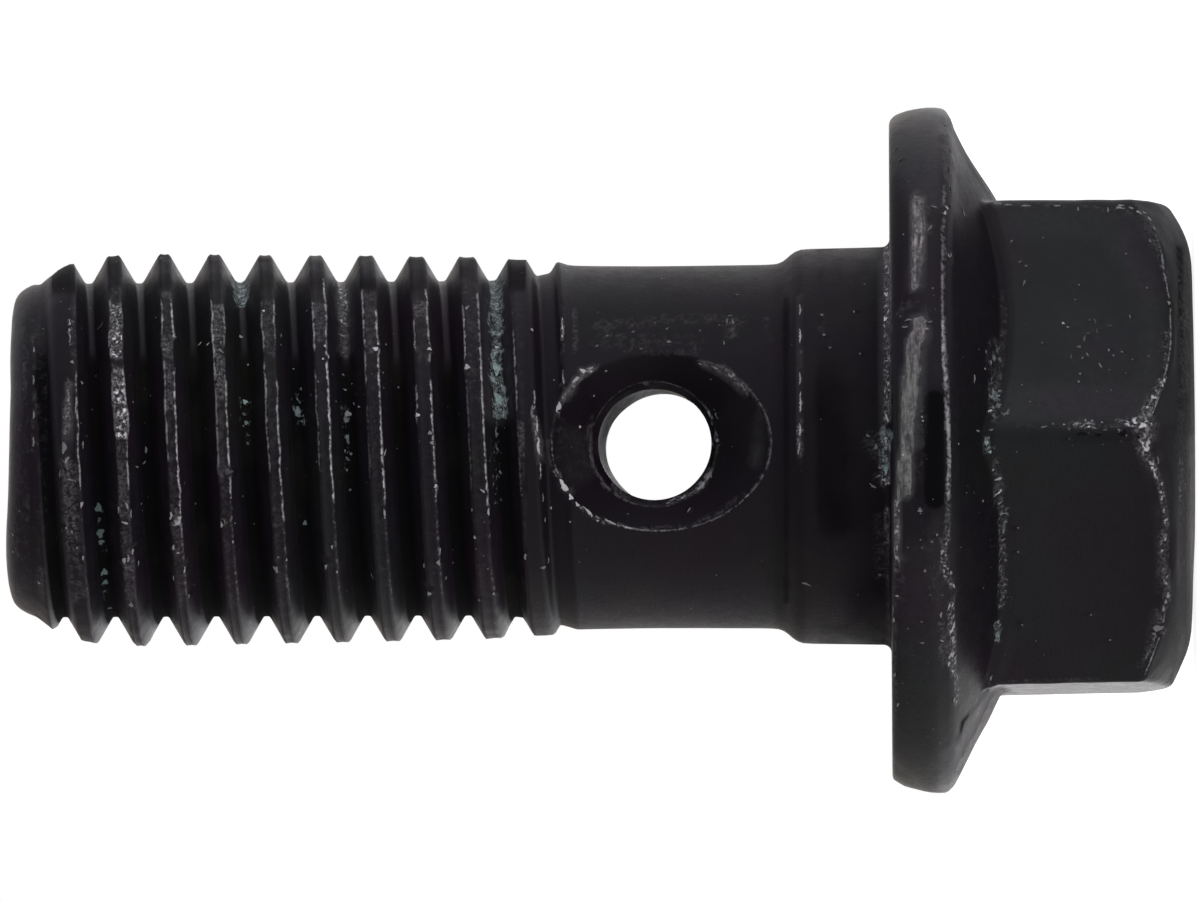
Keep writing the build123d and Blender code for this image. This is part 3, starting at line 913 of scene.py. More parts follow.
# thin lines that follow an edge of the form: strength and a generous width, because the edge itself makes them narrow
for level, width, *pts in (
        (.55, 14, (640, 528), (690, 525), (720, 512), (742, 497), (755, 485), (768, 465), (771, 440), (765, 410), (748, 392)),
        (.5, 12, (548, 440), (552, 465)), (.95, 14, (557, 474), (575, 503), (600, 521), (625, 527)), (.35, 14, (625, 527), (645, 530)),
        (.62, 8, (640, 391), (618, 402), (602, 420), (598, 440), (602, 462), (610, 483), (625, 497)),
        (.55, 8, (589, 440), (592, 465), (605, 488), (630, 500)), (.7, 8, (705, 408), (711, 430), (714, 450), (702, 485), (668, 502)),
        (.8, 3.5, (944, 190), (943, 240), (942, 320)), (1.15, 4.5, (942, 322), (943, 345), (946, 380), (950, 460), (948, 500)),
        (.3, 14, (1128, 205), (1142, 212), (1153, 232)), (.85, 22, (1157, 245), (1166, 275), (1172, 285), (1169, 303), (1169, 345), (1163, 380), (1152, 405), (1145, 415)),
        (.3, 14, (1135, 445), (1152, 460), (1162, 484), (1168, 500), (1160, 525), (1170, 550), (1171, 570), (1163, 590), (1166, 602), (1158, 615)),
        (.8, 20, (1158, 615), (1150, 640), (1140, 668)), (.3, 12, (1000, 426), (1060, 428)), (.7, 12, (1060, 428), (1150, 430))):
    stroke("line", level, width, *pts, soft=5.0)
# pale and blue-green residue left in corners
for level, width, *pts in (
        (1.0, 13, (497, 268), (497, 332)), (.6, 12, (497, 345), (497, 350)), (1.1, 14, (496, 358), (496, 382)), (.9, 14, (499, 389), (500, 414)), (.35, 12, (500, 416), (500, 430)), (.25, 12, (497, 425), (497, 500)),
        (1.0, 13, (241, 268), (241, 302)), (.3, 12, (297, 400), (300, 425)), (.25, 12, (345, 405), (345, 470)), (.25, 12, (246, 395), (246, 440)),
        (.8, 13, (886, 434), (884, 452)), (.6, 10, (884, 458), (884, 480)), (.28, 14, (994, 352), (996, 390)), (.5, 14, (994, 394), (998, 412)), (.6, 7, (987, 440), (990, 450)),
        (.30, 12, (1002, 500), (1004, 610)), (.62, 7, (998, 620), (998, 642)), (.4, 10, (715, 436), (715, 446)), (.22, 10, (100, 505), (107, 612)), (.3, 10, (713, 408), (716, 455))):
    stroke("teal", level, width, *pts, soft=4.0)
# dry film that lightens the coat without speckles; the strokes along the shoulder's edge, the head's dome edge and the
# cone's top and bottom outlines are a painted highlight and a painted reflection, not film
for level, width, soft_, *pts in (
        (1.2, 15, 4, (921, 320), (914, 345), (910, 375), (909, 405), (908, 440), (905, 460), (903, 492)), (.5, 12, 8, (926, 325), (920, 355), (917, 400), (914, 445)), (1.5, 9, 5, (918, 198), (920, 240), (916, 286)), (1.5, 5, 3, (913, 200), (917, 226), (914, 262)),
        (.5, 15, 6, (919, 202), (916, 284)), (1.05, 8, 4, (897, 498), (897, 540), (899, 562)), (1.0, 6, 4, (535, 418), (540, 458)), (.85, 7, 4, (69, 385), (66, 452)),
        (1.2, 4.5, 4, (557, 412), (565, 395), (578, 379), (594, 368)), (.8, 7, 4, (702, 364), (725, 372), (745, 390)), (.6, 8, 3, (884, 250), (884, 420)), (.9, 5, 3, (560, 480), (572, 498)), (.9, 5, 3, (697, 490), (705, 480), (711, 468)), (.85, 4, 3, (668, 501), (686, 497)), (.25, 12, 8, (1004, 285), (1004, 345)),
        (.05, 60, 30, (1085, 330), (1110, 380)), (.22, 30, 9, (497, 300), (497, 410)), (.35, 12, 6, (346, 290), (346, 350)), (.10, 30, 20, (1010, 222), (1150, 222)),
        (.16, 34, 20, (1010, 402), (1140, 402)), (.9, 9, 4, (1146, 412), (1147, 446)), (.30, 16, 9, (1183, 450), (1183, 610)), (1.05, 6, 5, (1188, 232), (1193, 300), (1193, 440)), (1.6, 16, 10, (1195, 440), (1195, 640)), (.75, 8, 6, (1186, 655), (1172, 680)), (.5, 12, 6, (1172, 222), (1186, 245)), (.3, 14, 8, (1160, 670), (1184, 660)), (.12, 30, 14, (575, 440), (578, 470)), (.35, 8, 5, (758, 415), (762, 440), (757, 465)),
        (.14, 24, 12, (1120, 240), (1150, 300), (1150, 380)), (.3, 6, 3, (800, 298), (800, 456)), (.5, 5, 3, (604, 410), (598, 440), (606, 475)), (.3, 16, 8, (935, 120), (915, 130)), (.38, 9, 6, (1139, 442), (1150, 458), (1162, 488), (1167, 520), (1163, 552), (1167, 578), (1170, 594), (1164, 612), (1156, 628)), (1.5, 11, 9, (955, 122), (976, 164), (998, 200)), (1.3, 13, 9, (1000, 694), (985, 722), (962, 768)), (.10, 44, 24, (922, 560), (922, 760)), (.2, 40, 20, (915, 150), (925, 190))):
    stroke("film_and_painted_light", level, width, *pts, soft=soft_)
# the cross hole's walls: the far wall painted darker as painted shade, the near wall painted lighter, with noise, as
# painted light falling in from behind
A["film_and_painted_light"][zone == 5] = np.where(verts[zone == 5, 1] > 0, -0.55, 0.10 + 0.40 * fractal(verts[zone == 5] * (1.0, 3.0, 1.0), 1.1, 2, 83))
# the hex flat on the -X side painted darker: painted shade
shaded_low_flat = (zone == 10) & (np.abs(np.degrees(phi_v) - 182.5) < 29.5) & (verts[:, 2] > -6.9)
A["film_and_painted_light"][shaded_low_flat] = -0.38
# the cone between the rim and the hex painted darker: painted shade
A["film_and_painted_light"][zone == 9] -= 0.30
# the upper near flat of the hex painted lighter: painted light from above
A["film_and_painted_light"][(zone == 10) & seen & (px[:, 1] < 424)] += 0.085
# edges that rubbed bare: stroked all round, with the near side already set above
n_a = fractal(verts, 0.55, 3, 31)
n_b = fractal(verts, 1.3, 3, 37)
rim_e = (zone == 8)
far = back
sel = rim_e & (verts[:, 2] < -1.2)
raise_to("patch", sel, np.clip(0.66 + 0.6 * n_b[sel], 0, 1.0) * far[sel] * np.clip(1.2 - np.abs(verts[sel, 2] + 1.37) / 0.14, 0, 1))
sel = rim_e & (verts[:, 2] > -0.45)
raise_to("patch", sel, np.clip(0.48 + 0.7 * n_a[sel], 0, .95) * far[sel])
sel = rim_e
raise_to("patch", sel, np.clip(2.0 * (n_a[sel] - .16), 0, .75) * far[sel])
sel = (zone == 10)
raise_to("line", sel, np.clip(0.90 + 0.5 * n_b[sel], 0, 1.0) * far[sel])
corner = np.abs((np.degrees(phi_v) - 32.5 + 30.0) % 60.0 - 30.0) * pi / 180 * rv
raise_to("patch", sel, np.clip(0.40 + 1.0 * n_b[sel], 0, .95) * far[sel] * np.exp(-(corner[sel] / 0.13) ** 2))
raise_to("patch", sel, np.clip(1.9 * (fractal(verts[sel] * (1.0, 1.0, 2.4), 0.42, 3, 97) - 0.24), 0, .50) * far[sel])
sel = (zone == 4) & (np.abs(verts[:, 2] - 2.27) < 0.05)
raise_to("patch", sel, np.clip(0.5 + 0.8 * n_a[sel], 0, .95) * far[sel])
sel = (zone == 4) & (verts[:, 2] < 7.8)
raise_to("line", sel, np.clip(0.7 + 0.6 * n_b[sel], 0, 1.0) * far[sel])
sel = (zone == 5)
raise_to("line", sel, np.clip(0.5 + 0.5 * n_b[sel], 0, .9))
sel = (zone == 6) & (verts[:, 2] < 0.22)
raise_to("patch", sel, np.clip(0.45 + 0.6 * n_b[sel], 0, .8) * far[sel])
raise_to("teal", sel, np.clip(0.2 + 0.9 * n_a[sel], 0, .7) * far[sel])
sel = (zone == 9) & (rv < 6.9)
raise_to("patch", sel, np.clip(0.35 + 0.6 * n_b[sel], 0, .75) * far[sel])
raise_to("teal", sel, np.clip(-0.1 + 0.9 * n_a[sel], 0, .6) * far[sel])
# seat: turned rings of contact wear; head top: rubbed where it slid on benches
sel = (zone == 7)
ring_w = np.exp(-((rv[sel] - 6.9) / 0.75) ** 2)
raise_to("patch", sel, 0.25 + 0.55 * ring_w + 0.12 * n_a[sel])
sel = (zone == 11)
raise_to("patch", sel, np.clip(0.26 + 0.35 * n_b[sel] + 0.25 * step01(rv[sel], 3.9, 4.9), 0, .8))
sel = (zone == 3)
raise_to("patch", sel, np.where(verts[sel, 2] > 21.5, 0.55, 0.12))
sel = (zone == 2)
raise_to("patch", sel, np.clip(0.22 + 0.3 * n_b[sel], 0, .6))
# darker collar, lighter and smoother head, set by zone; the upper near flat of the hex is painted lighter, as painted
# light from above
tone_and_shade = np.select([zone == 6, zone == 10, zone == 11, zone == 8, zone == 9, zone == 4, zone <= 1, zone == 2], [-0.80, 0.50, 0.0, 0.22, -0.25, -0.62, -0.30, 0.10], 0.0)
upper = np.where((zone == 10) & seen & (px[:, 1] < 425), 1.0, 0.0)
A["tone_and_shade"] = tone_and_shade + upper * 0.55 + 0.25 * n_a
# thread roots painted darker, ramping in over the seen side's upper turns and partly on the unseen side: painted shade
# in the roots
A["tone_and_shade"] -= np.where(on_thread & (np.abs(thread_d) > 0.47), 1.3, 0) * np.where(seen, step01(px[:, 1], 315, 400), 0.7)
A["tone_and_shade"] += np.where(on_thread & (np.abs(thread_d) > thread_hc + 0.08) & (np.abs(thread_d) < 0.46), 0.35, 0)
# seen crests painted darker near the upper outline: painted shade
A["tone_and_shade"] -= np.where(on_thread & (np.abs(thread_d) < 0.3) & seen, 0.6 * (1 - step01(px[:, 1], 285, 312)), 0)
# worn coat painted on the seen flanks near the upper outline, brighter there as a painted highlight
flank = on_thread & seen & (np.abs(thread_d) > thread_hc + 0.02)
raise_to("patch", flank, 0.40 * (1 - step01(px[flank, 1], 262, 296)))
# painted shade and painted light as darker and lighter coat: darker middle of the rim, the upper part of its left edge,
# crease lines at the rim's back and the cone's lower end, the cone, the middle of the collar, the slope beside the
# shoulder, the upper dome and under the hex ridge; lighter lower dome, lower cone and the rim's upper and lower ends
for level, width, *pts in ((-1.8, 26, (934, 400), (934, 500)), (-.9, 16, (901, 182), (902, 300)), (-.35, 12, (1174, 250), (1174, 420)), (-.5, 10, (1168, 232), (1172, 262)),
                           (-.8, 4, (950, 150), (949, 212)), (-.9, 5, (988, 690), (976, 706), (963, 722), (957, 742)), (.6, 24, (968, 668), (974, 700)), (.5, 14, (1180, 440), (1180, 610)),
                           (.25, 40, (925, 560), (925, 770)), (.3, 30, (915, 150), (915, 200)), (-.15, 40, (830, 380), (835, 520)), (-.45, 26, (970, 180), (970, 330)), (-.25, 26, (970, 330), (970, 640)),
                           (-.4, 8, (786, 300), (786, 600)), (-.5, 10, (1075, 436), (1125, 437)), (-.4, 12, (1148, 420), (1160, 440)), (-.9, 12, (1181, 250), (1182, 400))):
    stroke("tone_and_shade", level, width, *pts, soft=min(width, 20), mode="add")
# the upper near flat's hue is shifted along with its painted light
A["hue"] = np.clip(1.4 * fractal(verts, 0.30, 2, 41) + 0.55 * upper, -1, 1)
for level, width, *pts in ((.9, 90, (1060, 240), (1090, 300)), (-.35, 80, (1090, 520), (1100, 620)), (-.5, 120, (700, 540), (700, 600)), (.5, 60, (300, 430), (360, 520)),
                           (-.4, 60, (150, 400), (200, 480)), (-.8, 22, (920, 265), (940, 280)), (.3, 60, (640, 320), (740, 330)), (-.6, 26, (965, 690), (985, 665))):
    stroke("hue", level, width, *pts, soft=30.0, mode="mix")
for level, width, *pts in ((-.7, 34, (1135, 235), (1152, 285)), (-.7, 30, (1050, 402), (1120, 404)), (-.5, 26, (1010, 230), (1015, 260)), (-.4, 24, (1095, 345), (1110, 352)), (.9, 30, (1035, 330), (1060, 370))):
    stroke("hue", level, width, *pts, soft=22.0, mode="mix", zones=[10])
for level, width, *pts in ((-.22, 40, (1050, 262), (1075, 290)), (.22, 36, (1120, 350), (1145, 385)), (.20, 26, (1020, 400), (1100, 410)), (-.20, 26, (1010, 300), (1014, 350)), (.16, 30, (1120, 250), (1140, 290))):
    stroke("tone_and_shade", level, width, *pts, soft=24.0, mode="add", zones=[10])
A["dust"] = np.select([zone == 1, zone == 2, zone == 4, zone == 6, zone == 8, zone == 9, zone == 10], [.16, .22, .05, .07, .22, .18, .10], .08)
A["dust"] *= 0.8 + 0.6 * fractal(verts, 0.8, 2, 53)

# ------------------------------------------------------------------ single marks: each gets its own small ring of vertices
# place, half sizes along and across, angle in degrees, kind (0 bare metal, 1 pale crumb, 2 blue-green, 3 yellowish, 4
# near-black spot painted as the shadow of a pit or groove, 5 fine pale line), strength
MARKS = (
    (82, 383, 3, 2, 0, 1), (83, 445, 6, 1.5, 90, 1), (175, 523, 7, 4, 90, 3, .22), (228, 472, 5, 4, 0, 0), (222, 523, 8, 4, 90, 3, .22), (375.5, 349, 3.6, 2.8, 25, 1, 1), (378, 344, 1.4, 1.6, 0, 1, .8),
    (351, 454, 2, 2, 0, 1, .3), (347, 470, 2, 2, 0, 1, .25), (350, 490, 2, 1.5, 0, 1, .25), (385, 453, 5, 1.0, -65, 1, .5), (430, 349, 3.2, 2.2, 0, 1, .8), (417, 415, 2.6, 2.8, 0, 1, .9), (430, 433, 3, 2.5, 0, 1),
    (432, 443, 3, 2.5, 0, 1), (436, 486, 3, 2.5, 0, 1, .7), (467, 367, 3.5, 4, 0, 1, .6), (467, 308, 5, 1.5, -60, 1), (532, 330, 2.4, 2.4, 0, 1, .6), (13, 535, 1.5, 2.6, 0, 1), (13, 552, 1.5, 2.6, 0, 1),
    (39, 583, 2.4, 2.8, 0, 1), (98, 508, 5, 6, 0, 2, .26), (100, 533, 5, 6.5, 0, 2, .26), (101, 542, 4, 4, 0, 2, .26), (104, 572, 5, 6, 0, 2, .34), (105, 582, 4.5, 5, 0, 2, .3), (110, 608, 3, 2.4, 0, 1), (245, 402, 3.4, 3, 20, 2, .8), (246, 423, 2.6, 3, 0, 2, .4),
    (298, 411, 3.6, 6.2, 0, 2, .35), (305, 523, 2.6, 3.6, 0, 2, .35), (348, 414, 4.6, 4, 0, 1, .42), (583, 371, 4.5, 3.0, 30, 1, .8), (580, 427, 2.2, 1.8, 0, 1, .9), (606, 371, 2, 1.6, 0, 1, .4),
    (200, 344, 5, 1.4, 0, 5, .9), (208, 344.2, 5, 1.4, 0, 5, .9), (221, 351, 5.5, .7, 45, 1, .3), (240.7, 337, 2.6, 2.6, 0, 1, .55), (248, 365, 1.5, 1.5, 0, 1, .5), (233, 297, 1.5, 1.4, 0, 1, .4), (175.6, 337, 1.6, 1.6, 0, 1, .3),
    (156, 318, 1.4, 1.4, 0, 1, .3), (263.5, 311, 1.9, 2, 0, 1, .9), (281, 336, .9, 3.2, 0, 1, .25), (281, 345, 1.2, 1.2, 0, 1, .25), (301, 389, 1.8, 2.2, 0, 1, .35), (293.5, 369, 1.2, 1.2, 0, 1, .35),
    (307, 311, 1.3, 1.3, 0, 1, .4), (328.6, 357, 1.0, 3.6, 20, 1, .5), (323, 359, 1.4, 1.4, 0, 1, .8), (325, 346, 1.6, 2.2, 0, 1, .7), (345, 324, 2.6, 1.2, 0, 1, .5), (342, 336, 5, .8, 0, 1, .4),
    (352, 384, 1.3, 1.3, 0, 1, .3), (343, 375, 2.6, .9, 10, 1, .35), (345, 390, 2.8, .9, 10, 1, .35), (354, 404, 2.6, .7, 60, 1, .5), (359, 407, 4, .7, 15, 1, .5), (386, 344.7, 1.9, 1.2, 20, 1, .5),
    (383, 373, 1.4, 1.3, 0, 1, .4), (100, 327, 9, .6, 0, 1, .16), (146, 450, .7, 5, 0, 1, .3), (144, 463, 4, .7, -35, 1, .3), (137, 467, 4, .7, 5, 1, .3), (345, 451, 2.4, 2.2, 0, 1, .35),
    (594, 396, 1.5, 1.4, 0, 1, .4), (570, 522, 1.6, 1.5, 0, 1), (628, 514, 1.6, 1.3, 0, 1, .2), (689, 510, 4.6, .9, -60, 1, .4), (717, 440, 2.6, 2.4, 0, 2, .5), (646, 384, 3.0, 3.0, 0, 0, .5),
    (564, 486, 9.5, 3.3, 56, 1, 1), (571, 497, 5, 2.6, 50, 1, 1), (577.5, 504.5, 4, 1.8, 42, 1, .8), (596, 520, 5, 1.3, 25, 1, .7), (567, 391, 8, 2.9, -55, 1, .85), (558.5, 407, 7, 2.8, -66, 1, .75), (576, 379.5, 6.5, 2.1, -44, 1, .6),
    (590, 368.5, 5, 1.4, -15, 1, .4), (672, 500, 5, 1.6, -10, 1, .3), (682, 497, 3.5, 1.6, -20, 1, .35), (701, 485, 4.5, 1.4, -55, 1, .35), (708, 475, 4, 1.5, -62, 1, .3), (709, 414, 1.0, 3.5, -10, 1, .35),
    (712, 424, 1.0, 3, -10, 1, .35), (700, 364, 3, 1.4, 15, 1, .35), (715, 368, 5, 1.6, 18, 1, .3), (730, 376, 5, 1.6, 35, 1, .35), (742, 386, 4, 1.4, 45, 1, .3), (747, 496, 5, 1.0, -35, 1, .3),
    (727, 321, 1.1, 5, 5, 1, .22), (733, 322, 1.1, 5.5, -8, 1, .22), (730, 316, 3.6, .9, 0, 1, .2), (724, 343, .9, 4, 0, 1, .2), (737, 295, 1.2, 1.2, 0, 1, .3), (667, 329, 3, 1.0, -45, 1, .22),
    (669, 342, 3, 2.2, 0, 1, .25), (633, 332, 3, 1.2, -30, 1, .2), (607, 336, 2.4, 1.2, -20, 1, .2), (597, 346, 2.4, 1.2, -30, 1, .22), (641, 349, 2.4, 1, 0, 1, .2), (655, 323, 1.4, 1.4, 0, 1, .2), (700, 331, 1.4, 1.4, 0, 1, .2),
    (822, 315, 2.2, 1.8, 0, 1, .3), (824, 335, 2.2, 2.2, 0, 1, .3), (830, 348, 2, 1.5, 0, 1, .25), (854, 312, 1.2, 2.4, 0, 1, .4), (860, 354, 1.6, 1.4, 0, 1), (806, 584, 7, .8, 22, 1, .35),
    (873, 486, 6, 1.0, 35, 1, .5), (880, 575, 2.2, 2.6, 0, 1, .3), (868, 436, 3, 1.3, 20, 1, .4), (876, 447, 2, 4, 10, 1, .4), (886, 440, 2.4, 5, 0, 1, .9), (886, 470, 2.6, 7, 0, 2, 1), (886, 448, 2.4, 2.5, 0, 1, .8),
    (884, 480, 3, 2, 0, 1, .9), (880, 468, 3, 1.2, 20, 1, .6), (879, 476, 3, 1.2, -30, 1, .5), (888, 384, 1.3, 2.2, 0, 1, .5), (888, 372, 1.3, 1.8, 0, 1, .5), (887, 397, 1.3, 2.2, 0, 1, .45), (888, 358, 1.2, 2, 0, 1, .4),
    (951, 255, 1.6, 3.6, 0, 1), (920, 510, 4, 2.6, 0, 1, .25), (922, 417, 1.4, 1.4, 0, 1, .5), (923, 421, 1.4, 1.4, 0, 1, .5), (927, 329, 2.6, 1.4, 10, 1, .3), (926, 322, 4, .9, -15, 1, .25), (908, 320, 5, .9, -12, 1, .3),
    (905, 327, 5, .8, 5, 1, .25), (903, 455, 1.6, 1.6, 0, 1, .6), (922, 548, 2, 1.8, 0, 0), (925, 570, 2, 1.8, 0, 0), (930, 595, 2, 1.8, 0, 0), (920, 643, 2, 1.8, 0, 0), (895, 675, 1.1, 5, 15, 1), (898, 705, 1.1, 5, 15, 1),
    (974.5, 378.6, 1.1, 6, 5, 1, .6), (986, 352, 1.6, 3, 10, 1, .3), (991, 362, 3, 1.6, 30, 1, .5), (995, 358, 1.4, 2.4, 0, 1, .5), (985, 369, 1.4, 1.4, 0, 1, .8), (990, 411, 4.6, 1.4, -27, 1, .9), (993, 392, 1.2, 4, 10, 1, .5),
    (998, 396, 4, 1.1, -15, 1, .5), (999, 405, 3.6, 1.0, 0, 1, .4), (978, 431, 5.2, .7, 2, 1, .35), (991, 430, 4, .9, -10, 1, .3), (986.5, 443, 2.6, 3.4, 0, 2, .9), (990, 452, 2.2, 2.2, 20, 2, .8), (993, 470, 2.4, 1.4, -40, 1, .5),
    (998, 479, 6, 2.0, -12, 1, .6), (998, 493, 7.2, 1.4, -27, 1, .85), (1000, 503, 4, 1.2, -25, 1, .4), (1002, 514, 4, 1.1, -20, 1, .4), (958.6, 444, 1.3, 1.3, 0, 1, .6), (983, 501, 2, 1.8, 0, 1, .4),
    (1003, 540, 4, 1.1, -25, 1, .35), (1000, 560, 3.4, 1.2, -25, 1, .35), (1004, 585, 3.4, 1.2, -25, 1, .3), (998, 622, 2.2, 2.8, 0, 1), (997, 635, 2.6, 4.2, 0, 2), (991, 678, 1.4, 4.2, 12, 1),
    (1012, 241, 1.6, 1.4, 0, 1, .25), (1026, 266, 1.8, 1.6, 0, 1, .25), (1024, 283, 1.0, 5.5, 20, 1, .25), (1020, 262, 3, .8, -30, 1, .25), (1043, 238, 1.5, 1.4, 0, 1, .2), (1063.2, 323.4, 2.1, 1.7, 30, 1, .9), (1067.6, 327.2, 1.9, 1.4, 25, 1, .4),
    (1084.5, 338.5, 1.5, 5.6, 10, 1, .16), (1079, 347, 3.3, 2.0, 10, 1, .22), (1071, 356.5, 1.2, 5, -3, 1, .12), (1087.3, 354.7, 3.0, 1.3, 60, 1, .3), (1082.5, 358, 1.2, 2.4, 25, 1, .25), (1100.3, 365.5, 5.4, 1.0, 62, 1, .35),
    (1108.7, 350.3, 1.2, 2.3, 0, 1, .45), (1113.5, 355.6, 1.4, 1.4, 0, 1, .35), (1121.8, 352, 1.6, 1.3, 0, 1, .3), (1080, 374, 1.6, 1.5, 0, 1, .45), (1078.7, 381.8, 1.3, 1.3, 0, 1, .6), (1132.6, 359.7, 1.4, 1.6, 0, 1, .15),
    (1130, 316.6, .9, 3.2, -10, 1, .22), (1089.7, 320, 1.6, 1.4, 0, 1, .15), (1095, 321, .9, 5, -12, 1, .12), (1088, 333.5, 4, .7, 0, 1, .12), (1097, 331.5, .9, 4, -10, 1, .12), (1109.6, 326, 4, .7, -4, 1, .1),
    (1125.6, 373.5, 1.3, 1.3, 0, 1, .15), (1042, 343, 1.5, 1.6, 0, 1, .15), (1097, 392, 1.5, 1.2, 0, 1, .12), (1079, 285, 1.5, 1.4, 0, 1, .25), (1075, 300, 1.4, 1.4, 0, 1, .2), (1126, 254, 1.5, 1.5, 0, 1, .25), (1147, 288, 1.6, 1.6, 0, 1, .25),
    (1022, 385, 1.4, 1.3, 0, 1, .25), (1030, 402, 1.4, 1.3, 0, 1, .2), (1169, 303, 2, 3, 0, 1, .5), (1162, 484, 2, 3, 0, 1, .5), (1166, 602, 2.2, 3, 0, 1, .5), (1158, 628.5, 7.5, 4.6, -8, 5, .36), (1154, 634, 3, 2, 20, 1, .3),
    # long thin bright places: a painted highlight along the shoulder's edge, and bright lines at the thread's run-out
    (800, 310, 1.3, 11, 0, 5, .55), (800, 336, 1.3, 13, 0, 5, .8), (800, 379, 1.3, 10, 0, 5, .5), (800.3, 403, 1.3, 14, 0, 5, .75), (800, 430, 1.5, 9, 0, 5, .8), (799, 448, 1.3, 9, 8, 5, .55),
    (534.5, 398, 1.3, 13, -2, 5, .35), (537, 425, 1.6, 14, -3, 5, .75), (538.5, 446, 2.4, 12, -4, 1, .9), (540.5, 470, 1.3, 12, -4, 5, .6), (532, 412, 1.6, 10, 0, 5, .25),
    (562.3, 329, 1.4, 24, 0, 5, .7), (563, 378, 1.3, 11, 0, 5, .55), (516, 381, 1.3, 9, 0, 5, .3), (543, 498, 1.3, 6, -4, 5, .35), (551, 508, 1.3, 2.2, 0, 5, .5), (545, 520, 1.4, 3.4, 0, 5, .35),
    # the ridge between the two near flats: pale rubbed flecks on it, and below it near-black spots painted as the
    # shadow of its pits
    (1044, 427, 5, .9, -15, 1, .3), (1053, 424, 2, 1.6, 0, 1, .2), (1064, 424.7, 1.5, 1.3, 0, 1, .6), (1077, 424, 7, 1.6, -8, 1, .38), (1088, 423, 5, 2.2, 12, 1, .4), (1085.5, 420.5, 1.2, 2.6, 5, 1, .45), (1092, 421, 1.8, 1.6, 0, 1, .4),
    (1094, 428, 3.4, 1.6, 20, 1, .3), (1069, 429, 2.6, 2.2, 0, 1, .14), (1102, 422.5, 1.9, 1.5, 0, 1, .4), (1105, 430, 3, 1.4, -25, 1, .16), (1069, 439, 1.7, 1.6, 0, 1, .08), (1120.5, 441.5, 1.8, 1.5, 0, 1, .08),
    (1083, 434, 8, 2.6, 3, 4, .75), (1099, 435, 5, 2.4, -12, 4, .75), (1123, 433, 5.5, 5.5, 0, 4, .85), (1119, 430, 2, 1, 15, 1, .4), (1122, 421.5, 8, 1.1, -16, 1, .25), (1135, 418.4, 3, 1.5, -15, 1, .6),
    (1146.5, 422, 3.6, 1.1, 0, 1, .85), (1149, 415, 3, 3.4, 20, 1, .32), (1147, 429, 3, 6, 0, 1, .32), (1145, 436, 2.2, 3.6, -10, 1, .5), (1149.3, 442.3, 1.7, 2.5, -5, 1, 1), (1136.5, 431, 3, 3.4, 0, 1, .16), (1138.5, 437, 2.2, 2.2, 0, 4, .9),
    (1139, 450, 8, 1.0, 36, 1, .16), (1158, 460, 1.6, 5.6, -18, 1, .3), (1143, 408, 1.2, 5, 35, 1, .3), (1151, 401, 1.2, 5, 30, 1, .35), (1152, 409, 1.1, 4.5, 30, 1, .25),
    (1018, 528, 1.4, 1.4, 0, 1, .3), (1018, 552, 1.4, 1.4, 0, 1, .3), (1022, 625, 1.5, 1.4, 0, 1, .25), (1091, 615, 1.5, 1.4, 0, 1, .25), (1110, 640, 1.8, 1.4, 0, 1, .3), (1012, 693, 9, .9, 2, 4, .6),
    # crest by crest: bright streaks and flecks
    (69.8, 331, 1.7, 27, -3, 5, .55), (72, 362, 3, 2, 30, 1, .4), (34, 350, 1.2, 5, 0, 5, .35), (33.6, 380, 1.2, 8, 0, 5, .25), (33.8, 415, 1.3, 6, 0, 5, .35), (33.5, 442, 1.4, 7, 0, 5, .3),
    (64, 448, 3.4, 8, 5, 5, .3), (76, 404, 1.3, 12, 4, 5, .4), (67, 460, 1.5, 6, 35, 1, .4), (60, 474, 1.4, 6, 5, 1, .3), (71, 480, 6, 1.2, 10, 1, .25), (81.5, 505, 1.8, 4, 10, 1, .5), (66, 528, 2, 1.5, 0, 1, .4), (72, 532, 1.5, 2, 0, 1, .35),
    (69, 537, 2.4, 1.8, 0, 4, .6), (83, 558, 1.4, 4.5, 5, 1, .4), (77, 548, 1.4, 1.8, 0, 1, .3), (118.5, 510, 1.4, 6, 5, 1, .5), (127, 506, 1.3, 5, -20, 1, .45), (125, 523, 5, 1.6, 15, 1, .5), (131, 514, 1.2, 6, 0, 1, .4),
    (124, 561, 2.2, 5.5, 10, 1, .5), (128.5, 559, 1.4, 5, 0, 1, .45), (132.5, 552, 1.1, 5, 5, 1, .45), (138.5, 563, 1.1, 4.5, 0, 1, .4), (131, 605, 3, 5, -15, 1, .25), (171, 516, 1.6, 6, 5, 1, .5), (177, 524, 3, 2.2, 10, 1, .4),
    (173, 548, 1.8, 4, 15, 1, .5), (178, 553, 2.2, 1.8, 0, 1, .4), (173.5, 578, 1.1, 5, 5, 1, .5), (184.5, 570, 1.4, 6, 5, 1, .5), (189, 596, 1.1, 4, 0, 1, .35), (221.5, 525, 1.4, 5, 5, 1, .7), (233, 542, 1.3, 2.4, 0, 1, .4), (276, 570, 2.6, 5.5, -15, 1, .3),
    (286.5, 560, 1.5, 2.4, 0, 1, .4), (325.6, 567, 1.6, 4.5, 5, 1, .45), (337, 572, 1.3, 3, 0, 1, .35), (332, 547, 1.2, 3, 0, 1, .4), (384.5, 514, 1.3, 8, -3, 5, .45), (372, 576, 4.5, .9, 45, 1, .3), (424, 565.6, 1.8, 4.5, 10, 1, .45),
    (438.5, 563, 2.4, 4.5, -10, 1, .35), (440, 551, 1.1, 5.5, 5, 5, .45), (428.5, 594, 2.4, 4, 0, 1, .4), (446, 578, 1.6, 2.6, 20, 1, .35), (474.5, 537.5, 1.8, 2.6, 0, 1, .6), (472, 510, 1.2, 2.4, 0, 1, .4), (488.5, 512, 1.8, 6, -3, 5, .6),
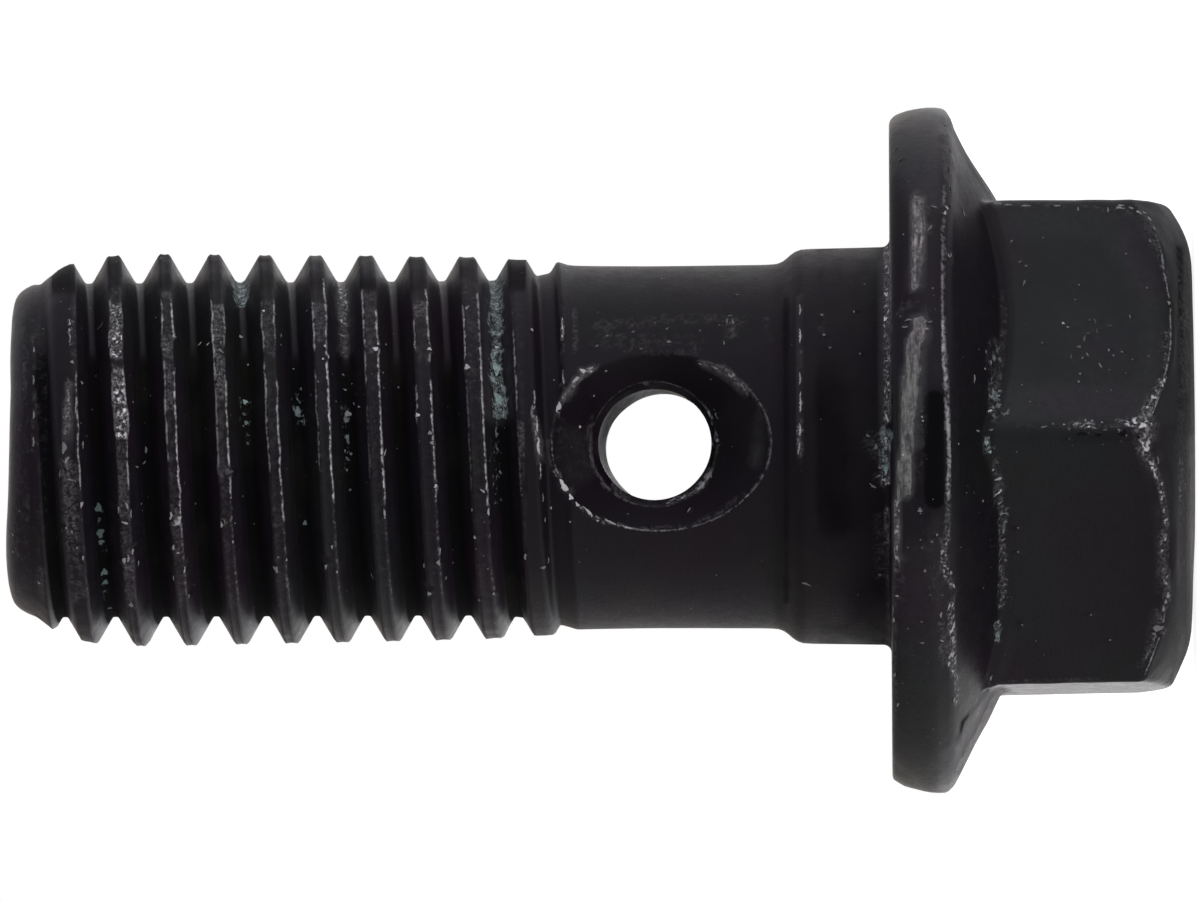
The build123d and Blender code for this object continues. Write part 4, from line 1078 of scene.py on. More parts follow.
    (482.5, 491, 4.5, .9, 35, 1, .5), (493.6, 594, 1.6, 2.8, 0, 1, .4), (479, 600, 1.3, 3, 0, 1, .3), (525, 557, 1.8, 5.5, 5, 1, .45), (543.5, 568, 4, 2.4, 20, 1, .25), (548.5, 560, 1.1, 5, -10, 1, .3),
    # blue-green lumps in the last turns' corner
    (496.5, 369, 5.0, 9.5, 0, 2, .95), (499, 399, 5.4, 7.5, -20, 2, .8), (497, 347.5, 3.2, 2.2, 10, 1, .95), 
    (239, 297, 4, 3.6, 0, 2, .9), (241, 283, 3.4, 2, 20, 2, .7), (244, 273, 2, 3, 0, 2, .6),
    # bright bar and smears on the countersink's edge
    (588, 511.5, 11, 1.7, 40, 5, .8), (611, 522.5, 11, 1.5, 19, 5, .6),
    # rubbed corner of the upper near flat
    (1121, 205.5, 5, 1.3, 5, 1, .5), (1131, 208, 4, 1.6, 20, 1, .45), (1139, 212.5, 4.5, 1.8, 30, 1, .6), (1144.5, 213, 4, 1.3, -5, 1, .75), (1149.5, 219, 4.5, 1.8, 50, 1, .8), (1154, 228, 4.5, 1.5, 65, 1, .7), (1150, 241, 3, 1.4, 60, 1, .3),
    # near-black spots between the rim and the cone and at the rim's seat edge, painted as the shadow of grooves, with a
    # painted highlight along the cone's edge; clumps on the rim's worn edge
    (950, 151, 1.5, 6, -5, 4, .8), (949, 170, 1.6, 8, 3, 4, .8), (950.5, 190, 1.8, 9, 0, 4, .8), (950, 207, 1.6, 6, 5, 4, .7), (953.5, 165, .9, 13, 3, 5, .35),
    (896, 150, .9, 7, 25, 4, .7), (901, 160, .8, 7, 35, 4, .6), (947, 208, 3.2, 2.2, 30, 1, .7), (945, 213, 1.8, 4, 15, 1, .7), (934, 207, 5, 1.2, 25, 1, .3), (930, 228, 1.2, 6, 30, 1, .22),
    (949, 256, 3.4, 1.3, 20, 1, .6), (964, 214, 1.0, 5, -35, 1, .5), (945, 125, 2, 1.4, 30, 1, .3), (948, 136, 1.6, 1.4, 0, 1, .25),
    (918, 318, 6, 1.1, -12, 5, .22), (930, 322, 4, 1.0, -15, 5, .22), (951, 573, 2.2, 2.6, 0, 1, .45), (954, 586, 1.4, 4.5, -25, 1, .6), (949, 607, 1.5, 5, 25, 1, .65), (954, 625, 2.6, 5, -15, 1, .5), (951, 655, 3.4, 3.6, 20, 1, .55),
    (949, 664, 2.0, 4, 15, 1, .6), (957, 678, 1.2, 3.6, 15, 1, .6), (954, 700, 1.3, 4.5, 12, 1, .6), (953, 640, 2.0, 5, 0, 1, .45), (941, 615, 1.2, 4.5, 5, 1, .4), (942, 641, 3.4, 1.2, 30, 1, .4),
    (920, 511, 3.2, 1.6, 10, 1, .35), (942, 552, 2.0, 3.4, 20, 1, .45), (946, 544, 1.4, 2.4, 10, 1, .5), (925, 571, 1.5, 2.6, 35, 1, .3), (937, 535, 1.4, 1.8, 20, 1, .3), (932, 542, 1.8, 1.4, 0, 1, .22),
    (897, 505, 1.8, 3.2, 0, 1, .5), (899, 511, 1.5, 2.4, 0, 1, .4), (897, 548, 1.8, 4.5, 0, 1, .4), (897, 596, 3.2, 1.4, -10, 1, .5), (894, 620, 1.2, 4, 5, 1, .5), (893, 610, .9, 8, 0, 5, .3), (922, 643, 3.2, .9, 0, 5, .25),
    (1008, 205, 6, 1.0, 3, 1), (1026, 206, 7, 1.0, 2, 1, .5), (1057, 206, 5, 1.0, 0, 1), (1078, 209, 1.0, 4, 0, 1), (1108, 210, 1.0, 4, 0, 1), (1120, 208, 6, 1.4, 12, 1, .5))

V_list = [tuple(v) for v in verts]
face_list = [tuple(int(i) for i in f) for f in F]
alive = [True] * len(face_list)
near_v = {}
for fi, f in enumerate(face_list):
    for i in f:
        near_v.setdefault(i, []).append(fi)
extra = {n: [] for n in names}


def value(n, i):
    return A[n][i] if i < len(verts) else extra[n][i - len(verts)]


def hit_at(x, y):
    """The point of the bolt seen at a place in the picture."""
    f_ = DIST * PXMM
    d = M_np.T @ np.array([(x - 600) / f_, (450.5 - y) / f_, -1.0])
    hit, nrm, fi, dist = tree.ray_cast(C_vec, Vector(d).normalized())
    return hit, nrm, fi


placed = skipped = 0
Xi, Yi = M_np[0], M_np[1]     # right and up in the picture
for mx, my, ra, rb, ang, kind, *rest_ in MARKS:
    pale = rest_[0] if rest_ else 0.36
    hit, nrm, fi0 = hit_at(mx, my)
    if hit is None:
        skipped += 1
        continue
    n_ = np.array(nrm)
    if (np.array(hit) - C_np) @ n_ > 0:
        n_ = -n_
    c_ = np.array(hit)
    # picture axes laid on the surface
    ex = Xi - n_ * (Xi @ n_)
    ex /= np.linalg.norm(ex)
    ey = np.cross(n_, ex)
    if ey @ Yi < 0:
        ey = -ey
    ca, sa = math.cos(rad(-ang)), math.sin(rad(-ang))
    to2 = lambda p: np.array([(np.asarray(p) - c_) @ ex, (np.asarray(p) - c_) @ ey])
    k_n = abs(n_ @ M_np[2])
    stretch = 1.0 / max(k_n, 0.35)
    r_a, r_b = max(ra * 0.85, 1.1) / PXMM, max(rb * 0.85, 1.0) / PXMM
    reach = max(r_a, r_b) * 1.25 * stretch + 0.02
    # faces that the mark touches, grown from the face that the ray hit
    start = None
    cand = set()
    if fi0 is not None and fi0 < len(alive) and alive[fi0]:
        start = fi0
    else:
        best = 1e9
        for q_ in range(len(face_list)):
            if q_ >= len(F) and alive[q_]:
                cc = np.mean([V_list[i] for i in face_list[q_]], 0)
                dd = np.linalg.norm(cc - c_)
                if dd < best:
                    best, start = dd, q_
    if start is None:
        skipped += 1
        continue
    todo, patch = [start], set()
    ell = lambda p: math.hypot(((p[0] * ca + p[1] * sa) / r_a), ((-p[0] * sa + p[1] * ca) / (r_b * (stretch if abs(n_ @ Yi) > 0.3 else 1.0))))

    def touches(f):
        q2 = [to2(V_list[i]) for i in f]
        if min(ell(p) for p in q2) < 1.5:
            return True
        for a_, b_ in zip(q2, q2[1:] + q2[:1]):
            for w in (0.2, 0.4, 0.6, 0.8):
                if ell(a_ + (b_ - a_) * w) < 1.5:
                    return True
        return False
    while todo and len(patch) < 90:
        q_ = todo.pop()
        if q_ in patch or not alive[q_]:
            continue
        if q_ != start and not touches(face_list[q_]):
            continue
        patch.add(q_)
        for i in face_list[q_]:
            todo += near_v[i]
    edges_ = {}
    for q_ in patch:
        f = face_list[q_]
        for a_, b_ in zip(f, f[1:] + f[:1]):
            edges_.setdefault((min(a_, b_), max(a_, b_)), []).append((a_, b_))
    border = {}
    ok = True
    for key, uses in edges_.items():
        if len(uses) == 1:
            a_, b_ = uses[0]
            if a_ in border:
                ok = False
            border[a_] = b_
    loop = []
    if ok and border:
        first = next(iter(border))
        loop = [first]
        while border.get(loop[-1]) is not None and border[loop[-1]] != first and len(loop) <= len(border):
            loop.append(border[loop[-1]])
        ok = len(loop) == len(border)
    if not ok or len(loop) < 3:
        # painted on the vertices that are there
        for q_ in patch:
            for i in face_list[q_]:
                if i < len(verts) and ell(to2(V_list[i])) < 1.2:
                    A["spot"][i], A["kind"][i], A["pale"][i] = 1.0, kind, pale
        skipped += 1
        continue
    inner_v = {i for q_ in patch for i in face_list[q_]} - set(loop)
    p2 = [Vector(to2(V_list[i])) for i in loop]
    e2 = [(i, (i + 1) % len(loop)) for i in range(len(loop))]
    ids_ = list(loop)
    for i in inner_v:
        if ell(to2(V_list[i])) > 1.35:
            p2.append(Vector(to2(V_list[i])))
            ids_.append(i)
    fresh = []
    m_ring = 9 if max(ra, rb) < 4 else 12
    for rr_, val in ((0.0, 1.0), (0.62, 1.0), (1.12, 0.0)):
        for t_ in range(1 if rr_ == 0 else m_ring):
            th_ = 2 * pi * (t_ + 0.5 * (rr_ > 1)) / m_ring
            wob = 1 + 0.22 * math.sin(3 * th_ + mx) * (rr_ > 0) + 0.12 * math.sin(5 * th_ + my)
            u_, w_ = rr_ * wob * r_a * math.cos(th_), rr_ * wob * r_b * math.sin(th_)
            q2 = np.array([u_ * ca - w_ * sa, u_ * sa + w_ * ca])
            # height over the tangent plane, from the surface itself
            p3 = c_ + ex * q2[0] + ey * q2[1]
            up, un, _, _ = tree.ray_cast(Vector(p3 + n_ * 0.25), Vector(-n_), 0.6)
            if up is None:
                continue
            fresh.append((q2, np.array(up) + n_ * (0.008 * val), val))
    poly2 = np.array([to2(V_list[i]) for i in loop])
    fresh = [f_ for f_ in fresh if inside(f_[0][None, :], poly2)[0]]
    if len(fresh) < 4:
        skipped += 1
        continue
    base = len(V_list)
    near_i = np.array([i for i in ids_ if i < len(verts)] or [0])
    for q2, p3, val in fresh:
        w_ = 1.0 / (np.linalg.norm(verts[near_i] - p3, axis=1) + 0.01) ** 2
        w_ /= w_.sum()
        for n in names:
            extra[n].append(float((A[n][near_i] * w_).sum()))
        extra["spot"][-1] = val
        extra["kind"][-1] = float(kind)
        extra["pale"][-1] = pale
        extra["zone"][-1] = A["zone"][near_i[0]]
        V_list.append(tuple(p3))
        p2.append(Vector(q2))
        ids_.append(len(V_list) - 1)
    cv, _, cf, vo, _, _ = delaunay_2d_cdt(p2, e2, [], 0, 1e-8, True)
    if len(cv) != len(p2):
        # a crossing made a new point: this patch is left as it was
        del V_list[base:]
        for n in names:
            del extra[n][len(V_list) - len(verts):]
        skipped += 1
        continue
    co2 = np.array([list(p) for p in p2])
    tris = []
    for f in cf:
        g = [vo[i][0] for i in f]
        thin = abs(np.cross(co2[g[1]] - co2[g[0]], co2[g[2]] - co2[g[0]])) < 2e-6 and max(g) < len(loop)
        if thin or inside(co2[g].mean(0)[None, :], poly2)[0]:
            tris.append((g, thin))
    # a triangle without area is turned into its neighbour; one that lies outside the border is dropped
    plain = [g for g, thin in tris if not thin]
    for g in [g for g, thin in tris if thin]:
        k_ = max(range(3), key=lambda i: np.linalg.norm(co2[g[i]] - co2[g[(i + 1) % 3]]))
        a_, c3, b_ = g[k_], g[(k_ + 1) % 3], g[(k_ + 2) % 3]
        for h_, t_ in enumerate(plain):
            if a_ in t_ and c3 in t_:
                d_ = [i for i in t_ if i not in (a_, c3)][0]
                at_ = [t_.index(a_), t_.index(c3)]
                first_ = (at_[0] + 1) % 3 == at_[1]
                plain[h_] = [a_, b_, d_] if first_ else [b_, a_, d_]
                plain.append([b_, c3, d_] if first_ else [c3, b_, d_])
                break
    uses_ = {}
    for g in plain:
        for a_, b_ in zip(g, g[1:] + g[:1]):
            key = (min(a_, b_), max(a_, b_))
            uses_[key] = uses_.get(key, 0) + 1
    rim_keys = {(min(a_, b_), max(a_, b_)) for a_, b_ in e2}
    if any(n_u != (1 if key in rim_keys else 2) for key, n_u in uses_.items()) or not rim_keys <= set(uses_):
        # the border did not close: this patch is left as it was
        del V_list[base:]
        for n in names:
            del extra[n][len(V_list) - len(verts):]
        skipped += 1
        continue
    new_faces = [tuple(ids_[i] for i in g) for g in plain]
    for q_ in patch:
        alive[q_] = False
    for f in new_faces:
        face_list.append(f)
        alive.append(True)
        for i in f:
            near_v.setdefault(i, []).append(len(face_list) - 1)
    placed += 1
print("marks placed", placed, "left out", skipped)
F = [f for f, a_ in zip(face_list, alive) if a_]
used = np.zeros(len(V_list), bool)
for f in F:
    used[list(f)] = True
renum = np.cumsum(used) - 1
F = [tuple(int(renum[i]) for i in f) for f in F]
verts = np.array(V_list)[used]
for n in names:
    A[n] = np.concatenate([A[n], np.array(extra[n])])[used]
print("vertices", len(verts), "faces", len(F), "triangles", sum(len(f) - 2 for f in F))

mesh = bpy.data.meshes.new("banjo_bolt_skin")
mesh.from_pydata((verts * 0.001).tolist(), [], F)
mesh.validate()
mesh.update()
import bmesh
bm = bmesh.new()
bm.from_mesh(mesh)
bmesh.ops.recalc_face_normals(bm, faces=bm.faces)
open_edges = sum(1 for e in bm.edges if len(e.link_faces) != 2)
vol = bm.calc_volume(signed=True)
print("open or shared edges", open_edges, "volume mm3", vol * 1e9)
if vol < 0:
    bmesh.ops.reverse_faces(bm, faces=bm.faces)
bm.to_mesh(mesh)
bm.free()
for name in names:
    at = mesh.attributes.new(name, "FLOAT", "POINT")
    at.data.foreach_set("value", A[name].astype(np.float32))
mesh.polygons.foreach_set("use_smooth", np.ones(len(mesh.polygons), bool))
bolt = bpy.data.objects.new("banjo_bolt_skin", mesh)
bpy.context.scene.collection.objects.link(bolt)

# ------------------------------------------------------------------ finish: thin black coat over steel, rubbed through on the edges
mat = bpy.data.materials.new("black_steel")
mat.use_nodes = True
nt = mat.node_tree
bsdf = nt.nodes["Principled BSDF"]


def node(kind, **kw):
    n = nt.nodes.new(kind)
    for k_, v_ in kw.items():
        setattr(n, k_, v_)
    return n


def put(sock, v_):
    if isinstance(v_, (int, float)):
        sock.default_value = v_
    elif isinstance(v_, tuple):
        sock.default_value = v_
    else:
        nt.links.new(v_, sock)


def ma(op, a_, b_=None, c_=None, clamp=False):
    n = node("ShaderNodeMath", operation=op, use_clamp=clamp)
    for i, v_ in enumerate((a_, b_, c_)):
        if v_ is not None:
            put(n.inputs[i], v_)
    return n.outputs[0]


def mp(x, lo, hi, o0=0.0, o1=1.0, kind="SMOOTHSTEP"):
    n = node("ShaderNodeMapRange", interpolation_type=kind, clamp=True)
    for i, v_ in enumerate((x, lo, hi, o0, o1)):
        put(n.inputs[i], v_)
    return n.outputs[0]


def mixc(f_, a_, b_):
    n = node("ShaderNodeMix", data_type="RGBA")
    put(n.inputs[0], f_)
    put(n.inputs[6], a_)
    put(n.inputs[7], b_)
    return n.outputs[2]


def mixf(f_, a_, b_):
    return ma("ADD", ma("MULTIPLY", a_, ma("SUBTRACT", 1.0, f_)), ma("MULTIPLY", b_, f_))


def at(name):
    return node("ShaderNodeAttribute", attribute_name=name).outputs["Fac"]


tco = node("ShaderNodeTexCoord")
mm = node("ShaderNodeVectorMath", operation="SCALE")
nt.links.new(tco.outputs["Object"], mm.inputs[0])
mm.inputs["Scale"].default_value = 1000.0
mm = mm.outputs[0]


def stretchv(v3):
    n = node("ShaderNodeVectorMath", operation="MULTIPLY")
    nt.links.new(mm, n.inputs[0])
    n.inputs[1].default_value = v3
    return n.outputs[0]


def nz(scale, detail=2.0, rough=0.5, vec=None, distort=0.0):
    n = node("ShaderNodeTexNoise", noise_dimensions="3D")
    nt.links.new(vec if vec is not None else mm, n.inputs["Vector"])
    n.inputs["Scale"].default_value = scale
    n.inputs["Detail"].default_value = detail
    n.inputs["Roughness"].default_value = rough
    n.inputs["Distortion"].default_value = distort
    return n.outputs["Fac"]


def wide(f_, gain_=3.0):
    """Noise stretched to fill 0 to 1."""
    return ma("ADD", ma("MULTIPLY", ma("SUBTRACT", f_, 0.5), gain_), 0.5, clamp=True)


n_big = nz(0.42, 3.0)
n_mid = nz(2.6, 3.0, 0.6)
n_soft = nz(5.5, 2.0, 0.5, distort=0.4)
n_fine = nz(12.0, 3.0, 0.6)
n_grain = nz(34.0, 2.0, 0.6)
n_turn = nz(1.0, 3.0, 0.7, stretchv((0.9, 0.9, 26.0)))
n_swirl = nz(5.0, 2.0, 0.55, stretchv((0.7, 0.7, 1.15)), distort=1.6)
n_swirl2 = nz(8.0, 1.0, 0.5, stretchv((0.75, 0.75, 1.1)), distort=1.0)
n_rub = nz(7.0, 3.0, 0.62, stretchv((0.32, 0.32, 1.7)), distort=0.3)
soft_n = wide(ma("ADD", ma("MULTIPLY", n_soft, 0.6), ma("MULTIPLY", n_fine, 0.4)), 3.4)
on_head_ = mp(at("zone"), 7.3, 7.7)
crisp = ma("ADD", ma("MULTIPLY", n_fine, 0.34), ma("ADD", ma("MULTIPLY", n_swirl2, 0.26), ma("MULTIPLY", nz(6.6, 1.0, 0.5, distort=0.6), 0.40)))
crisp = wide(mixf(on_head_, crisp, ma("ADD", ma("MULTIPLY", n_fine, 0.40), ma("MULTIPLY", nz(6.0, 1.0, 0.5), 0.60))), 4.0)
# thin raised lips round small dents: where a swirling noise crosses its middle value
lip = mp(ma("ABSOLUTE", ma("SUBTRACT", n_swirl, 0.5)), 0.004, 0.028, 1.0, 0.0)
lip2 = mp(ma("ABSOLUTE", ma("SUBTRACT", n_swirl2, 0.5)), 0.006, 0.034, 1.0, 0.0)
lips = ma("MAXIMUM", lip, ma("MULTIPLY", lip2, 0.7))

a_edge, a_line, a_patch, a_teal = at("edge"), at("line"), at("patch"), at("teal")
a_film_and_painted_light, a_tone_and_shade, a_hue, a_spot, a_kind, a_dust, a_pale = at("film_and_painted_light"), at("tone_and_shade"), at("hue"), at("spot"), at("kind"), at("dust"), at("pale")

# rubbed patches: a dull film first, then lips, then bright cores as the wear grows
cut = ma("SUBTRACT", 1.0, a_patch)
film = ma("MULTIPLY", mp(soft_n, ma("SUBTRACT", cut, 0.45), ma("ADD", cut, 0.45)), mp(a_patch, 0.0, 0.30))
veins = ma("MULTIPLY", ma("MULTIPLY", lips, mp(n_fine, 0.38, 0.60)), mp(a_patch, 0.22, 0.95))
cut_c = ma("SUBTRACT", 1.46, ma("MULTIPLY", a_patch, 0.72))
cores = mp(crisp, ma("SUBTRACT", cut_c, 0.12), ma("ADD", cut_c, 0.14))
cores = ma("MULTIPLY", cores, mp(a_patch, 0.35, 0.6))
# edge lines: width and breaks from noise
line_w = ma("ADD", 0.006, ma("MULTIPLY", soft_n, 0.022))
wander = ma("ADD", ma("MULTIPLY", ma("SUBTRACT", n_soft, 0.5), 0.060), ma("MULTIPLY", ma("SUBTRACT", n_mid, 0.5), 0.050))
m_edge = mp(ma("ABSOLUTE", ma("ADD", a_edge, wander)), ma("SUBTRACT", line_w, 0.012), ma("ADD", line_w, 0.016), 1.0, 0.0)
line_cut = ma("SUBTRACT", 0.92, a_line)
m_line = mp(ma("ADD", ma("MULTIPLY", soft_n, 0.6), ma("MULTIPLY", crisp, 0.4)), ma("SUBTRACT", line_cut, 0.22), ma("ADD", line_cut, 0.22))
m_line = ma("MULTIPLY", ma("MULTIPLY", m_line, m_edge), mp(a_line, 0.05, 0.25))
# spots with their own outline
is_thin = mp(a_kind, 4.3, 4.7)
ragged = ma("MULTIPLY", ma("SUBTRACT", crisp, 0.5), ma("SUBTRACT", 0.30, ma("MULTIPLY", is_thin, 0.22)))
m_spot = mp(ma("ADD", a_spot, ragged), 0.40, 0.66)
is_teal = mp(ma("ABSOLUTE", ma("SUBTRACT", a_kind, 2.0)), 0.3, 0.6, 1.0, 0.0)
is_yellow = ma("MULTIPLY", mp(a_kind, 2.4, 2.7), mp(a_kind, 3.3, 3.6, 1.0, 0.0))
is_crumb = mp(a_kind, 0.3, 0.7)
# loose dust: one small speck in some of the cells
vor = node("ShaderNodeTexVoronoi", feature="F1")
nt.links.new(mm, vor.inputs["Vector"])
vor.inputs["Scale"].default_value = 6.0
sep = node("ShaderNodeSeparateColor")
nt.links.new(vor.outputs["Color"], sep.inputs[0])
size_ = mp(sep.outputs[1], 0.0, 1.0, 0.06, 0.20, "LINEAR")
m_dust = ma("MULTIPLY", mp(vor.outputs["Distance"], ma("MULTIPLY", size_, 0.5), size_, 1.0, 0.0), ma("LESS_THAN", sep.outputs[0], a_dust))
m_dust = ma("MULTIPLY", m_dust, mp(n_fine, 0.36, 0.50))
# residue, thick in the middle of its clumps
teal_cut = ma("SUBTRACT", 1.0, a_teal)
m_teal = ma("MULTIPLY", mp(soft_n, ma("SUBTRACT", teal_cut, 0.10), ma("ADD", teal_cut, 0.20)), mp(a_teal, 0.1, 0.3))
m_teal = ma("MULTIPLY", m_teal, mp(ma("ADD", ma("MULTIPLY", n_fine, 0.5), ma("MULTIPLY", lips, 0.25)), 0.20, 0.36, 0.35, 1.0))
clump = ma("ADD", ma("MULTIPLY", mp(n_soft, 0.40, 0.64), 0.55), ma("MULTIPLY", lips, 0.5), clamp=True)

# coat
coat_dark = mixc(mp(a_hue, -1.0, 1.0), (0.0084, 0.0044, 0.0088, 1), (0.0066, 0.0060, 0.0078, 1))
coat_light = mixc(mp(a_hue, -1.0, 1.0), (0.0170, 0.0116, 0.0176, 1), (0.0138, 0.0168, 0.0176, 1))
grainy = ma("ADD", ma("MULTIPLY", ma("SUBTRACT", n_mid, 0.5), 0.9), ma("MULTIPLY", ma("SUBTRACT", n_fine, 0.5), 0.9))
tone_f = mp(ma("ADD", a_tone_and_shade, grainy), -0.7, 1.0)
coat = mixc(tone_f, coat_dark, coat_light)
# near black where the coat is lowered the most: the painted shade of the roots, creases and grooves
coat = mixc(mp(a_tone_and_shade, -0.75, -1.25), coat, (0.0022, 0.0017, 0.0024, 1))
coat = mixc(ma("MULTIPLY", mp(n_big, 0.52, 0.66), 0.30), coat, (0.0128, 0.0122, 0.0080, 1))
# lighter coat where the film is set; it also carries the painted light on the upper flat and on the hole's near wall
coat = mixc(ma("MULTIPLY", ma("MINIMUM", a_film_and_painted_light, 0.6), mp(ma("ADD", ma("MULTIPLY", n_soft, 0.6), ma("MULTIPLY", n_fine, 0.4)), 0.30, 0.62, 0.55, 1.0)), coat, (0.088, 0.086, 0.088, 1))
on_rim = mp(ma("ABSOLUTE", ma("SUBTRACT", at("zone"), 8.0)), 0.3, 0.6, 1.0, 0.0)
rub_n = mixf(on_rim, ma("ADD", 0.5, ma("MULTIPLY", ma("SUBTRACT", soft_n, 0.5), 0.22)), n_rub)
# strong film values turn the coat to grey smears, and above 1.25 to near white; the dome's edge and the cone's outlines
# get this as a painted reflection
smear = mp(ma("ADD", a_film_and_painted_light, ma("MULTIPLY", ma("SUBTRACT", soft_n, 0.5), 0.30)), 0.66, 0.90)
coat = mixc(ma("MULTIPLY", smear, mp(rub_n, 0.36, 0.46, 0.6, 1.0)), coat, mixc(mp(rub_n, 0.36, 0.62), (0.105, 0.104, 0.102, 1), mixc(mp(a_film_and_painted_light, 1.25, 1.5), mixc(mp(a_hue, -0.6, 0.2), (0.238, 0.212, 0.220, 1), (0.215, 0.218, 0.208, 1)), (0.50, 0.455, 0.465, 1))))
dull = mixc(ma("MULTIPLY", mp(n_fine, 0.35, 0.65), mp(a_patch, 0.15, 0.9, 0.12, 1.0)), (0.026, 0.0235, 0.026, 1), (0.098, 0.094, 0.098, 1))
steel = mixc(ma("MULTIPLY", crisp, mp(ma("MAXIMUM", a_patch, a_line), 0.45, 1.1)), (0.13, 0.125, 0.13, 1), (0.74, 0.72, 0.73, 1))
col = mixc(ma("MULTIPLY", film, 0.80), coat, dull)
worn = ma("MAXIMUM", ma("MULTIPLY", veins, 0.8), cores)
col = mixc(worn, col, steel)
col = mixc(m_line, col, mixc(ma("MULTIPLY", mp(ma("ADD", ma("MULTIPLY", n_soft, 0.5), ma("MULTIPLY", n_fine, 0.5)), 0.38, 0.62), mp(a_line, 0.35, 1.1)), (0.085, 0.082, 0.085, 1), (0.46, 0.45, 0.46, 1)))
bare = ma("MAXIMUM", worn, m_line)
crumb = mixc(is_teal, (0.56, 0.55, 0.56, 1), (0.36, 0.50, 0.48, 1))
crumb = mixc(is_yellow, crumb, (0.15, 0.14, 0.08, 1))
crumb = mixc(is_crumb, (0.14, 0.14, 0.14, 1), crumb)
# kind 4: near black, the painted shadow of a pit or groove
crumb = mixc(ma("SUBTRACT", mp(a_kind, 3.4, 3.7), is_thin), crumb, (0.0025, 0.002, 0.0025, 1))
col = mixc(ma("MULTIPLY", m_spot, a_pale), col, crumb)
col = mixc(ma("MULTIPLY", m_teal, 0.9), col, mixc(ma("MULTIPLY", clump, mp(a_teal, 0.3, 1.0, 0.55, 1.0)), (0.036, 0.048, 0.048, 1), (0.46, 0.54, 0.54, 1)))
col = mixc(m_dust, col, mixc(sep.outputs[2], (0.045, 0.045, 0.047, 1), (0.22, 0.22, 0.22, 1)))
put(bsdf.inputs["Base Color"], col)

not_metal = ma("MAXIMUM", ma("MAXIMUM", m_spot, m_dust), m_teal)
metal = ma("MULTIPLY", bare, ma("SUBTRACT", 0.80, ma("MULTIPLY", not_metal, 0.80)))
put(bsdf.inputs["Metallic"], metal)
r_coat = ma("ADD", 0.35, ma("ADD", ma("MULTIPLY", ma("SUBTRACT", n_fine, 0.5), 0.20), ma("MULTIPLY", ma("SUBTRACT", n_mid, 0.5), 0.22)))
r_coat = ma("ADD", r_coat, ma("MULTIPLY", a_film_and_painted_light, 0.2))
r_coat = ma("ADD", r_coat, ma("MULTIPLY", ma("MAXIMUM", ma("MULTIPLY", a_tone_and_shade, -1.0), 0.0), 0.16))
r_coat = ma("ADD", r_coat, mp(a_tone_and_shade, -0.72, -1.15, 0.0, 0.40), clamp=True)
r_bare = mp(crisp, 0.0, 1.0, 0.56, 0.36, "LINEAR")
rough = ma("ADD", ma("MULTIPLY", r_coat, ma("SUBTRACT", 1.0, bare)), ma("MULTIPLY", r_bare, bare))
rough = ma("ADD", rough, ma("MULTIPLY", not_metal, 0.35), clamp=True)
put(bsdf.inputs["Roughness"], rough)
bsdf.inputs["IOR"].default_value = 1.22

height = ma("ADD", ma("MULTIPLY", n_fine, 0.50), ma("MULTIPLY", n_grain, 0.22))
height = ma("ADD", height, ma("MULTIPLY", n_mid, 0.5))
height = ma("ADD", height, ma("MULTIPLY", n_turn, 0.16))
height = ma("ADD", height, ma("MULTIPLY", ma("MULTIPLY", lips, mp(a_patch, 0.1, 0.6)), 0.35))
height = ma("ADD", height, ma("MULTIPLY", ma("SUBTRACT", n_swirl, 0.5), ma("MULTIPLY", a_patch, 1.6)))
height = ma("ADD", height, ma("MULTIPLY", not_metal, 0.5))
bump = node("ShaderNodeBump")
bump.inputs["Strength"].default_value = 0.6
bump.inputs["Distance"].default_value = 0.00002
nt.links.new(height, bump.inputs["Height"])
nt.links.new(bump.outputs["Normal"], bsdf.inputs["Normal"])
bolt.data.materials.append(mat)

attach(bolt, "root")
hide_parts("banjo_bolt")

# ------------------------------------------------------------------ floor, light, camera
fm = bpy.data.meshes.new("floor")
s = 2.0
fm.from_pydata([(-s, -s, HEAD_Z * 0.001), (s, -s, HEAD_Z * 0.001), (s, s, HEAD_Z * 0.001), (-s, s, HEAD_Z * 0.001)], [], [(0, 1, 2, 3)])
floor = bpy.data.objects.new("floor", fm)
bpy.context.scene.collection.objects.link(floor)
fmat = bpy.data.materials.new("pale_floor")
fmat.use_nodes = True
fb = fmat.node_tree.nodes["Principled BSDF"]
fb.inputs["Base Color"].default_value = (0.9, 0.9, 0.9, 1)
fb.inputs["Roughness"].default_value = 0.9
fb.inputs["Emission Color"].default_value = (1, 1, 1, 1)
fb.inputs["Emission Strength"].default_value = 0.30
seen_by = fmat.node_tree.nodes.new("ShaderNodeLightPath")
glow = fmat.node_tree.nodes.new("ShaderNodeMapRange")
place = fmat.node_tree.nodes.new("ShaderNodeTexCoord")
# the floor's glow that the part sees is lower near the part, round a centre 14 mm off to +X: painted shade on the floor
# round the part; camera rays get a steady glow
off = fmat.node_tree.nodes.new("ShaderNodeVectorMath")
off.operation = "SUBTRACT"
off.inputs[1].default_value = (0.014, 0.0, 0.0)
fmat.node_tree.links.new(place.outputs["Object"], off.inputs[0])
away = fmat.node_tree.nodes.new("ShaderNodeVectorMath")
away.operation = "LENGTH"
fmat.node_tree.links.new(off.outputs["Vector"], away.inputs[0])
painted_shade_pool = fmat.node_tree.nodes.new("ShaderNodeMapRange")
painted_shade_pool.interpolation_type = "SMOOTHSTEP"
for key, v_ in (("From Min", 0.009), ("From Max", 0.045), ("To Min", 0.215), ("To Max", 0.80)):
    painted_shade_pool.inputs[key].default_value = v_
fmat.node_tree.links.new(away.outputs["Value"], painted_shade_pool.inputs["Value"])
glow.inputs["To Max"].default_value = 0.86
